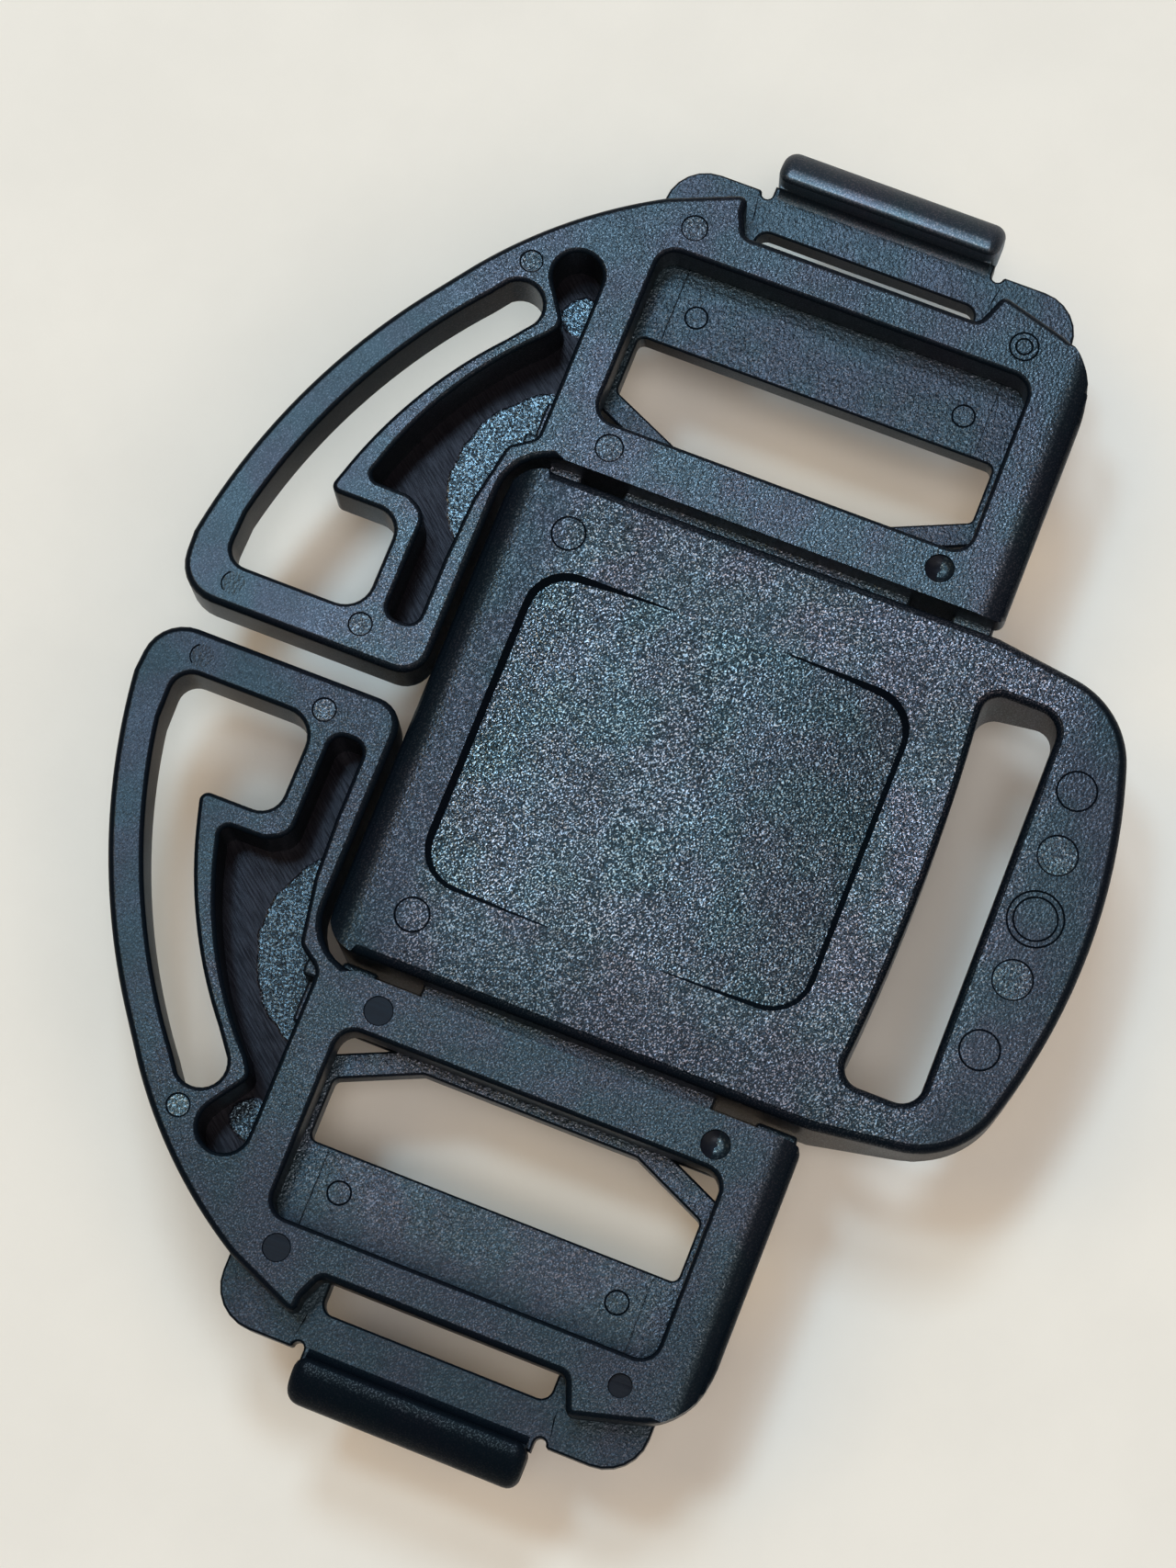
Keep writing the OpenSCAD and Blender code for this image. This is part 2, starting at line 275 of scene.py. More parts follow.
class Moulding:
    """A moulded solid that is drawn as outlines and shaped with bmesh operators."""

    def __init__(self) -> None:
        """Starts with nothing drawn."""
        self.bm = bmesh.new()
        self.rims: dict[tuple[int, int], str] = {}

    @staticmethod
    def _key(x: float, y: float) -> tuple[int, int]:
        """Rounded place of a point, in micrometres."""
        return round(x * 1e6), round(y * 1e6)

    def _loop(self, points: list[Point], z: float, name: str) -> list[bmesh.types.BMEdge]:
        """Draws a closed loop.

        Args:
            points: Points in millimetres.
            z: Height of the loop.
            name: Name under which its edges are found later.

        Returns:
            The loop's edges.
        """
        verts = [self.bm.verts.new((x * MM, y * MM, z * MM)) for x, y in points]
        for vert in verts:
            self.rims[self._key(vert.co.x, vert.co.y)] = name
        return [self.bm.edges.new(pair) for pair in zip(verts, verts[1:] + verts[:1])]

    def plate(self, outline: list[Point], openings: dict[str, list[Point]],
              panels: dict[str, list[Point]], top: float, bottom: float) -> dict[str, Face]:
        """Draws a plate with openings, and with panels that stay closed.

        Args:
            outline: Outer outline.
            openings: Outlines that are cut through, by name.
            panels: Outlines that become faces of their own in the top, by name.
            top: Height of the top.
            bottom: Height of the underside.

        Returns:
            The panels' top faces, by name.
        """
        edges = self._loop(outline, top, "outline")
        for name, points in openings.items():
            edges += self._loop(points, top, name)
        panel_edges = {name: self._loop(points, top, name) for name, points in panels.items()}
        for loop in panel_edges.values():
            edges += loop
        bmesh.ops.triangle_fill(self.bm, use_beauty=True, use_dissolve=True,
                                edges=edges, normal=(0, 0, 1))
        faces = {name: self.bm.faces.new([edge.verts[0] for edge in loop])
                 for name, loop in panel_edges.items()}
        self.drop(list(self.bm.faces), top - bottom)
        self.bm.normal_update()
        bmesh.ops.recalc_face_normals(self.bm, faces=self.bm.faces)
        return faces

    def drop(self, faces: list[Face], depth: float) -> list[Face]:
        """Extrudes faces straight down.

        Args:
            faces: The faces.
            depth: How far they go down.

        Returns:
            The faces at the new depth.
        """
        grown = bmesh.ops.extrude_face_region(self.bm, geom=with_edges(faces))["geom"]
        bmesh.ops.translate(self.bm, verts=only(Vert, grown), vec=(0, 0, -depth * MM))
        return only(Face, grown)

    def faces_at(self, z: float, y_from: float = -1000.0) -> list[Face]:
        """Level faces at a height.

        Args:
            z: The height.
            y_from: Distance along Y from which they count.

        Returns:
            The faces.
        """
        return [f for f in self.bm.faces
                if all(abs(v.co.z - z * MM) < NEAR and v.co.y >= y_from * MM - NEAR
                       for v in f.verts)]

    def cut_y(self, y: float, faces: list[Face]) -> list[Face]:
        """Cuts faces along a line of constant Y.

        Args:
            y: Where the line lies.
            faces: The faces.

        Returns:
            The parts that they are cut into.
        """
        cut = bmesh.ops.bisect_plane(self.bm, geom=with_edges(faces), dist=NEAR / 10,
                                     plane_co=(0, y * MM, 0), plane_no=(0, 1, 0))
        return only(Face, cut["geom"])

    def roll(self, top: float, start: float, end: float, run: float, drop: float,
             cuts: int) -> None:
        """Rolls the top over towards an edge, as a quarter of an ellipse.

        Args:
            top: Height of the top.
            start: Y where the roll starts.
            end: Y of the edge.
            run: The ellipse's half length along Y.
            drop: Its half height.
            cuts: Number of cuts across the roll.
        """
        for i in range(cuts):
            self.cut_y(start + (end - start) * i / cuts, self.faces_at(top))
        for vert in self.bm.verts:
            depth = math.copysign(1.0, end - start) * (vert.co.y / MM - start)
            if depth > 0 and abs(vert.co.z - top * MM) < NEAR:
                share = min(depth / run, 1.0)
                vert.co.z -= drop * (1 - math.sqrt(1 - share * share)) * MM

    def ease(self, radius: float, rims: set[str], z_from: float, z_to: float,
             segments: int = 4) -> None:
        """Rounds the edges of named rims between two heights.

        Args:
            radius: Radius of the rounding.
            rims: Names of the rims.
            z_from: Lowest height of an edge.
            z_to: Highest height of an edge.
            segments: Stretches across the rounding.
        """
        def chosen(edge: bmesh.types.BMEdge) -> bool:
            """Whether an edge belongs to the rims, turns sharply and isn't upright.

            Args:
                edge: The edge.

            Returns:
                True for an edge to round.
            """
            if len(edge.link_faces) != 2 or edge.calc_face_angle() < SHARP_ANGLE:
                return False
            if abs((edge.verts[0].co - edge.verts[1].co).normalized().z) > UPRIGHT:
                return False
            return all(z_from * MM - NEAR <= v.co.z <= z_to * MM + NEAR
                       and self.rim_of(v) in rims for v in edge.verts)

        bevel(self.bm, [e for e in self.bm.edges if chosen(e)], radius, segments, False)

    def rim_of(self, vert: Vert) -> str:
        """Name of the rim on which a vertex lies, or an empty string."""
        return self.rims.get(self._key(vert.co.x, vert.co.y), "")

    def mark(self, face: Face, style: MarkStyle) -> None:
        """Shapes a round panel as a mark of the mould.

        Args:
            face: The panel's face.
            style: Its style.
        """
        def step(width: float, depth: float) -> list[Face]:
            """Insets the face and sinks it.

            Args:
                width: Width of the inset.
                depth: How far the face sinks.

            Returns:
                The faces that the inset makes.
            """
            return bmesh.ops.inset_individual(
                self.bm, faces=[face], thickness=width * MM, depth=-depth * MM,
                use_even_offset=True)["faces"]

        steps, finish = style.value
        for width, depth in steps:
            step(width, depth)
        face.material_index = finish.value
        middle = face.calc_center_median()
        if style is MarkStyle.DISHED:
            width, depths = DISH
            # painted highlight: each step's half towards lower Y takes the sparkling pin
            # finish, the rest the smooth one
            for depth in depths:
                for part in step(width, depth):
                    lit = part.calc_center_median().y < middle.y
                    part.material_index = (Finish.PIN if lit else Finish.SMOOTH).value
        elif style is MarkStyle.TILTED:
            reach = max(v.co.y - middle.y for v in face.verts)
            for vert in face.verts:
                share = (vert.co.y - middle.y) / reach + TILT_START
                vert.co.z -= TILT * MM * max(0.0, share)

    def block(self, low: Triple, high: Triple) -> None:
        """Adds a block with eased edges.

        Args:
            low: Lowest corner.
            high: Highest corner.
        """
        radius, segments = 0.25, 2
        made = bmesh.ops.create_cube(self.bm, size=1.0)["verts"]
        bmesh.ops.scale(self.bm, verts=made, vec=[(h - l) * MM for l, h in zip(low, high)])
        bmesh.ops.translate(self.bm, verts=made,
                            vec=[(h + l) / 2 * MM for l, h in zip(low, high)])
        bevel(self.bm, unique(e for v in made for e in v.link_edges), radius, segments)

    def absorb(self, other: "Moulding") -> None:
        """Adds another drawing's mesh to this one.

        Args:
            other: The other drawing, which is used up.
        """
        mesh = bpy.data.meshes.new("part")
        other.bm.to_mesh(mesh)
        other.bm.free()
        self.bm.from_mesh(mesh)
        bpy.data.meshes.remove(mesh)

    def finish(self, name: str, datum: Datum, materials: list[bpy.types.Material],
               left: bool = False) -> bpy.types.Object:
        """Turns the drawing into a piece at its place.

        Args:
            name: Name of the piece.
            datum: Where the drawings lie.
            materials: Materials in the order of Finish.
            left: Whether the piece lies on the left of the middle plane.

        Returns:
            The piece.
        """
        if left:
            bmesh.ops.scale(self.bm, verts=self.bm.verts, vec=(-1, 1, 1))
        bmesh.ops.translate(self.bm, verts=self.bm.verts, vec=(0, datum.shift_y * MM, 0))
        bmesh.ops.remove_doubles(self.bm, verts=self.bm.verts, dist=NEAR)
        bmesh.ops.recalc_face_normals(self.bm, faces=self.bm.faces)
        for face in self.bm.faces:
            face.smooth = True
        for edge in self.bm.edges:
            if len(edge.link_faces) == 2 and edge.calc_face_angle() > SHARP_ANGLE:
                edge.smooth = False
        mesh = bpy.data.meshes.new(name)
        self.bm.to_mesh(mesh)
        self.bm.free()
        for material in materials:
            mesh.materials.append(material)
        piece = link(name, mesh)
        weighted = piece.modifiers.new("face weighted normals", "WEIGHTED_NORMAL")
        weighted.weight = 100
        weighted.keep_sharp = True
        return piece


class Nodes:
    """A small helper that lays out a material's nodes."""

    def __init__(self, name: str) -> None:
        """Starts a material.

        Args:
            name: Name of the material.
        """
        self.material = bpy.data.materials.new(name)
        self.material.use_nodes = True
        self.tree = self.material.node_tree
        coordinates = self.add("ShaderNodeTexCoord").outputs
        self.place, self.normal = coordinates["Object"], coordinates["Normal"]

    def fill(self, socket: Socket, value: object) -> None:
        """Links a source to a socket, or sets a number or colour on it.

        Args:
            socket: The socket.
            value: The source, number or colour.
        """
        if isinstance(value, Socket):
            self.tree.links.new(value, socket)
        else:
            socket.default_value = (*value, 1.0) if socket.type == "RGBA" else value

    def add(self, kind: str, inputs: dict | None = None, **settings: object) -> bpy.types.Node:
        """Adds a node.

        Args:
            kind: Its type.
            inputs: What fills its inputs, by name or number.
            settings: Its properties.

        Returns:
            The node.
        """
        node = self.tree.nodes.new(kind)
        for key, value in settings.items():
            setattr(node, key, value)
        for key, value in (inputs or {}).items():
            self.fill(node.inputs[key], value)
        return node

    def shade(self, inputs: dict[str, object]) -> bpy.types.Material:
        """Fills the shader's inputs.

        Args:
            inputs: What fills them, by name.

        Returns:
            The finished material.
        """
        for key, value in inputs.items():
            self.fill(self.tree.nodes["Principled BSDF"].inputs[key], value)
        return self.material

    def axes(self, vector: Socket) -> bpy.types.NodeOutputs:
        """X, Y and Z of a vector."""
        return self.add("ShaderNodeSeparateXYZ", {0: vector}).outputs

    def noise(self, size: float, detail: float, roughness: float = 0.5,
              seed: float = 0.0, stretch: float = 1.0, angle: float = 0.0) -> Socket:
        """Noise with features of a size.

        Args:
            size: Size of a feature, in millimetres.
            detail: Octaves.
            roughness: Weight of the finer octaves.
            seed: Shift of the pattern.
            stretch: How much longer a feature is along the stretched direction.
            angle: That direction from X, in radians.

        Returns:
            The noise's value.
        """
        place = self.add("ShaderNodeMapping", {
            "Location": (seed, seed * 0.7, -seed), "Rotation": (0.0, 0.0, angle),
            "Scale": (stretch, 1.0, 1.0), "Vector": self.place}, vector_type="TEXTURE")
        return self.add("ShaderNodeTexNoise", {
            "Vector": place.outputs[0], "Scale": 1.0 / (size * MM), "Detail": detail,
            "Roughness": roughness}).outputs["Fac"]

    def ramp(self, value: Socket, low: float, high: float,
             out_low: float = 0.0, out_high: float = 1.0) -> Socket:
        """Maps a range of a value to another, clamped.

        Args:
            value: The value.
            low: Start of its range.
            high: End of its range.
            out_low: Result at the start.
            out_high: Result at the end.

        Returns:
            The result.
        """
        inputs = dict(enumerate((value, low, high, out_low, out_high)))
        return self.add("ShaderNodeMapRange", inputs, clamp=True,
                        interpolation_type="SMOOTHSTEP").outputs[0]

    def math(self, operation: str, first: object, *others: object) -> Socket:
        """Arithmetic on sockets or numbers, from left to right.

        Args:
            operation: Its name.
            first: First socket or number.
            others: Those that follow, each joined to the result so far.

        Returns:
            The result.
        """
        for other in others or (None,):
            inputs = {0: first} if other is None else {0: first, 1: other}
            first = self.add("ShaderNodeMath", inputs, operation=operation).outputs[0]
        return first

    def mix(self, factor: Socket, first: object, second: object) -> Socket:
        """Mixes two colours by a factor."""
        return self.add("ShaderNodeMix", {0: factor, 6: first, 7: second},
                        data_type="RGBA").outputs[2]

    def bump(self, height: Socket, distance: float, strength: float = 1.0) -> Socket:
        """Normal of a surface bumped by a share of a distance in millimetres."""
        return self.add("ShaderNodeBump", {"Strength": strength, "Distance": distance * MM,
                                           "Height": height}).outputs["Normal"]


@dataclass(frozen=True)
class ShadedCalm:
    """A stretch along X or Y over which the grain settles down and the shine is painted lower
    as shade.

    Shine and contrast are the shares left past its end; places are in millimetres.
    """

    axis: str
    start: float
    end: float
    shine: float
    contrast: float


@dataclass(frozen=True)
class GrainedPlastic:
    """Black plastic moulded against a spark-eroded steel face.

    Lengths are in millimetres. Walls are the faces that aren't level, darkened by painted
    shade.
    """

    name: str
    dark: Triple = (0.003, 0.005, 0.009)
    # colour of the grain's crests on level faces, painted light as glints
    light: Triple = (0.03, 0.045, 0.065)
    drift: Triple = (0.86, 1.04, 0.99)
    tint: Triple = (0.62, 0.75, 1.0)
    crest_tint: Triple = (0.88, 0.82, 1.0)
    grain: float = 0.2
    speck: float = 0.105
    speck_range: Point = (0.5, 0.68)
    broad: float = 0.2
    depth: float = 0.1
    roughness: float = 0.3
    pit_shine: float = 0.38
    crest_shine: float = 2.9
    contrast: float = 1.0
    wall_roughness: float = 0.42
    wall_depth: float = 0.12
    # share of the shine left on walls and fillets: painted shade
    wall_shade_shine: float = 0.3
    # extra shine on upright walls: painted light
    upright_lit_shine: float = 0.7
    steep: Point = (0.95, 0.9992)
    middle: float = 0.45
    shaded_calm: tuple[ShadedCalm, ...] = ()

    def _calmed_and_shaded(self, nodes: Nodes, value: Socket, quality: str) -> Socket:
        """Lowers a value along the stretches; a lowered shine there is painted shade.

        Args:
            nodes: The material's nodes.
            value: The value.
            quality: "shine" or "contrast", the share of the stretch that is used.

        Returns:
            The lowered value.
        """
        for shaded_calm in self.shaded_calm:
            value = nodes.math("MULTIPLY", value, nodes.ramp(
                nodes.axes(nodes.place)[shaded_calm.axis], shaded_calm.start * MM, shaded_calm.end * MM,
                1.0, getattr(shaded_calm, quality)))
        return value

    def _shaded(self, nodes: Nodes, crests: Socket, pit: Triple, crest: Triple) -> Socket:
        """A colour from pit to crest that drifts in hue over a few millimetres.

        Args:
            nodes: The material's nodes.
            crests: Where the grain stands up.
            pit: Colour of the pits.
            crest: Colour of the crests.

        Returns:
            The colour.
        """
        hue = nodes.ramp(nodes.noise(4.5, 2.0, 0.5, 17.0), 0.35, 0.65)
        drifted = (tuple(c * d for c, d in zip(colour, self.drift)) for colour in (pit, crest))
        return nodes.mix(hue, nodes.mix(crests, pit, crest), nodes.mix(crests, *drifted))

    def build(self) -> bpy.types.Material:
        """Builds the material: sparkling grain on level faces, smoother walls with painted
        shade.

        Returns:
            The material.
        """
        nodes = Nodes(self.name)
        upward = nodes.math("ABSOLUTE", nodes.axes(nodes.normal)["Z"])
        level = nodes.ramp(upward, *self.steep)
        # painted light: upright walls get extra shine by their facing alone
        upright = nodes.ramp(upward, 0.05, 0.3, self.upright_lit_shine, 0.0)
        crests = nodes.ramp(nodes.noise(self.speck, 1.0, 0.5, 9.0, 1.25, -0.42),
                            *self.speck_range)
        swing = nodes.math("MULTIPLY", nodes.math("SUBTRACT", crests, self.middle),
                           self.contrast)
        crests = nodes.math("ADD", self._calmed_and_shaded(nodes, swing, "contrast"), self.middle)
        broad = nodes.math("MULTIPLY", nodes.noise(self.grain * 3.0, 1.0, 0.5, 7.0),
                           self.broad)
        height = nodes.math("ADD", nodes.noise(self.grain, 1.0), broad)
        share = nodes.ramp(level, 0.0, 1.0, self.wall_depth, self.contrast)
        worn = nodes.ramp(nodes.noise(6.0, 3.0, 0.6, 5.0), 0.3, 0.7, 0.8, 1.1)
        height = self._calmed_and_shaded(nodes, nodes.math("MULTIPLY", height, share, worn), "contrast")
        rough = nodes.ramp(level, 0.0, 1.0, self.wall_roughness, self.roughness)
        smudge = nodes.ramp(nodes.noise(9.0, 4.0, 0.6, 11.0), 0.3, 0.75, -0.03, 0.05)
        # painted shade: walls and fillets keep only a share of the shine, and upright walls
        # gain some
        facing_shade = nodes.math("ADD", nodes.ramp(level, 0.0, 1.0, self.wall_shade_shine, 1.0), upright)
        shine = nodes.ramp(crests, 0.0, 1.0, self.pit_shine, self.crest_shine)
        shine = self._calmed_and_shaded(nodes, nodes.math("MULTIPLY", shine, facing_shade), "shine")
        # painted glints: the grain's crests are painted lighter on level faces only
        speck = nodes.math("MULTIPLY", crests, level)
        return nodes.shade({
            "Base Color": self._shaded(nodes, speck, self.dark, self.light),
            "Specular Tint": self._shaded(nodes, crests, self.tint, self.crest_tint),
            "Roughness": nodes.math("ADD", rough, smudge), "Specular IOR Level": shine,
            "Normal": nodes.bump(height, self.depth), "IOR": 1.5})


@dataclass(frozen=True)
class PocketFloor:
    """The pocket's floor: smooth, but rough and sparkling in spots that are painted light as a
    reflection.

    Spots are (distance from the middle plane, Y, radius) in millimetres.
    """

    name: str
    lit_spots: tuple[Triple, ...]
    shine: float = 2.6
    left_shade_share: float = 0.45
    wobble: float = 0.1
    blur: float = 0.12
    smooth: Triple = (0.004, 0.004, 0.006)
    rough: Triple = (0.011, 0.018, 0.034)
    smooth_tint: Triple = (0.8, 0.78, 0.95)
    rough_tint: Triple = (0.54, 0.79, 1.0)

    def _inside(self, nodes: Nodes) -> Socket:
        """Where the spots are.

        Args:
            nodes: The material's nodes.

        Returns:
            1 inside a spot, and 0 outside.
        """
        place = nodes.axes(nodes.place)
        across = nodes.math("ABSOLUTE", place["X"])
        wobble = nodes.ramp(nodes.noise(1.2, 2.0, 0.5, 3.0), 0.3, 0.7,
                            -self.wobble * MM, self.wobble * MM)
        inside = []
        for x, y, radius in self.lit_spots:
            squares = (nodes.math("POWER", nodes.math("SUBTRACT", here, middle * MM), 2.0)
                       for here, middle in ((across, x), (place["Y"], y)))
            away = nodes.math("SQRT", nodes.math("ADD", *squares))
            away = nodes.math("ADD", away, wobble)
            inside.append(nodes.ramp(away, (radius - self.blur) * MM,
                                     (radius + self.blur) * MM, 1.0, 0.0))
        return nodes.math("MAXIMUM", *inside)

    def build(self) -> bpy.types.Material:
        """Builds the material.

        Returns:
            The material.
        """
        nodes = Nodes(self.name)
        inside = self._inside(nodes)
        streaks = nodes.noise(0.12, 2.0, 0.6, 5.0, 14.0, 0.9)
        specks = nodes.math("MULTIPLY", inside, nodes.ramp(
            nodes.noise(0.15, 1.0, 0.5, 9.0), 0.45, 0.66, 0.1, 1.0))
        # painted shade: the left pocket's sparkles keep only a share of their shine
        side = nodes.ramp(nodes.axes(nodes.place)["X"], -MM, MM, self.left_shade_share, 1.0)
        lit = nodes.math("MULTIPLY", specks, nodes.math("MULTIPLY", side, self.shine))
        grain = nodes.math("MULTIPLY", nodes.noise(0.2, 1.0), inside)
        height = nodes.math("ADD", grain, nodes.math("MULTIPLY", streaks, 0.12))
        return nodes.shade({
            "Base Color": nodes.mix(specks, self.smooth, self.rough),
            "Specular Tint": nodes.mix(inside, self.smooth_tint, self.rough_tint),
            "Specular IOR Level": nodes.math(
                "ADD", nodes.ramp(streaks, 0.3, 0.7, 0.04, 0.14), lit),
            "Roughness": nodes.ramp(inside, 0.0, 1.0, 0.3, 0.26),
            "Normal": nodes.bump(height, 0.08)})


@dataclass(frozen=True)
class SmoothPlastic:
    """Black plastic moulded against a polished or cut steel face, with fine tool streaks."""

    name: str
    colour: Triple = (0.006, 0.007, 0.011)
    roughness: float = 0.28
    streak: float = 0.25
    shine: float = 0.08
    tint: Triple = (0.7, 0.82, 1.0)

    def build(self) -> bpy.types.Material:
        """Builds the material.

        Returns:
            The material.
        """
        nodes = Nodes(self.name)
        stretched = nodes.add("ShaderNodeMapping", {
            "Vector": nodes.place, "Scale": (1.0, 0.06, 0.06), "Rotation": (0.0, 0.0, 0.6)})
        streaks = nodes.add("ShaderNodeTexNoise", {
            "Vector": stretched.outputs[0], "Scale": 1.0 / (self.streak * MM)}).outputs["Fac"]
        return nodes.shade({
            "Base Color": self.colour, "IOR": 1.5, "Specular IOR Level": self.shine,
            "Specular Tint": self.tint, "Normal": nodes.bump(streaks, 0.01),
            "Roughness": nodes.ramp(streaks, 0.3, 0.7, self.roughness - 0.05,
                                    self.roughness + 0.08)})


@dataclass(frozen=True)
class Paper:
    """Pale matt paper on which the buckle lies."""

    name: str = "pale_paper"
    colour: Triple = (0.80, 0.79, 0.765)
    cloud_share: float = 0.965
    roughness: float = 0.85

    def build(self) -> bpy.types.Material:
        """Builds the material.

        Returns:
            The material.
        """
        nodes = Nodes(self.name)
        cloud = nodes.ramp(nodes.noise(14.0, 5.0, 0.6), 0.3, 0.7)
        darker = tuple(c * self.cloud_share for c in self.colour)
        return nodes.shade({"Base Color": nodes.mix(cloud, darker, self.colour),
                            "Roughness": self.roughness,
                            "Normal": nodes.bump(nodes.noise(0.5, 4.0), 0.03, 0.3)})


class Plastics:
    """The plastics' finishes, built once and shared by the pieces."""

    def __init__(self) -> None:
        """Builds the materials. Where a finish has two sides, the right one comes first, the
        left one darker by painted shade.
        """
        # painted shade: the housing's shine is lowered towards the crotch bar, the shoulder
        # band and its left side
        self.housing = GrainedPlastic("housing_grain", shaded_calm=(
            ShadedCalm("Y", -24.0, -28.5, 0.35, 0.42), ShadedCalm("Y", 8.2, 10.8, 0.36, 0.6),
            ShadedCalm("X", -8.0, -17.0, 0.56, 0.9))).build()
        # Lit and shaded copies: the left wing's lower shine is painted shade, and both are
        # painted darker over the tips and outer frames.
        self.wings = [
            GrainedPlastic("right_wing_grain_lit", pit_shine=0.37, crest_shine=1.65, contrast=0.65,
                           shaded_calm=(ShadedCalm("Y", 19.0, 26.0, 0.46, 0.4),
                                 ShadedCalm("X", 24.0, 34.0, 0.75, 0.85))).build(),
            GrainedPlastic("left_wing_grain_shaded", pit_shine=0.22, crest_shine=0.8, contrast=0.65,
                           shaded_calm=(ShadedCalm("Y", 19.0, 26.0, 0.55, 0.45),
                                 ShadedCalm("X", -24.0, -34.0, 0.6, 0.8))).build()]
        # Lit and shaded copies: the left lever's lower shine is painted shade, and both are
        # painted darker towards the lip.
        self.levers = [
            GrainedPlastic(name, pit_shine=pit, crest_shine=0.85, contrast=0.8,
                           shaded_calm=(shaded_calm,)).build()
            for name, pit, shaded_calm in (
                ("right_lever_grain_lit", 0.4, ShadedCalm("X", 32.0, 35.0, 0.95, 0.7)),
                ("left_lever_grain_shaded", 0.33, ShadedCalm("X", -32.0, -35.0, 0.38, 0.6)))]
        # the right lip's high shine is a painted sheen, the left lip's low shine painted shade
        self.lips = [
            GrainedPlastic(name, depth=0.025, roughness=0.5, wall_roughness=0.5,
                           wall_depth=1.0, pit_shine=pit, crest_shine=crest).build()
            for name, pit, crest in (("right_lip_painted_sheen", 2.2, 3.6), ("left_lip_painted_shade", 0.1, 0.3))]
        self.button = GrainedPlastic("button_grain").build()
        self.pin = GrainedPlastic(
            "pin_mark", light=(0.03, 0.045, 0.062), roughness=0.28, tint=(0.64, 0.77, 0.98),
            crest_tint=(0.85, 0.86, 1.0), pit_shine=0.45, crest_shine=1.6, contrast=0.8,
            speck=0.14).build()
        # painted shade: the pad's shine falls off towards its crotch end
        self.pad = GrainedPlastic(
            "pad_grain", tint=(0.56, 0.76, 1.0), crest_tint=(0.8, 0.83, 1.0), pit_shine=0.32,
            crest_shine=3.9, shaded_calm=(ShadedCalm("Y", 2.0, -15.0, 0.62, 0.85),)).build()
        self.smooth = SmoothPlastic("polished_face").build()
        self.pocket = PocketFloor("pocket_floor",
                                  ((17.0, 11.1, 7.75), (29.8, 14.6, 1.4))).build()

    def slots(self, body: bpy.types.Material, left: bool = False) -> list[bpy.types.Material]:
        """Materials in the order of Finish, with the body's grain first; left picks the lip
        grain with painted shade.
        """
        return [body, self.pin, self.smooth, self.pocket, self.pad, self.lips[left]]


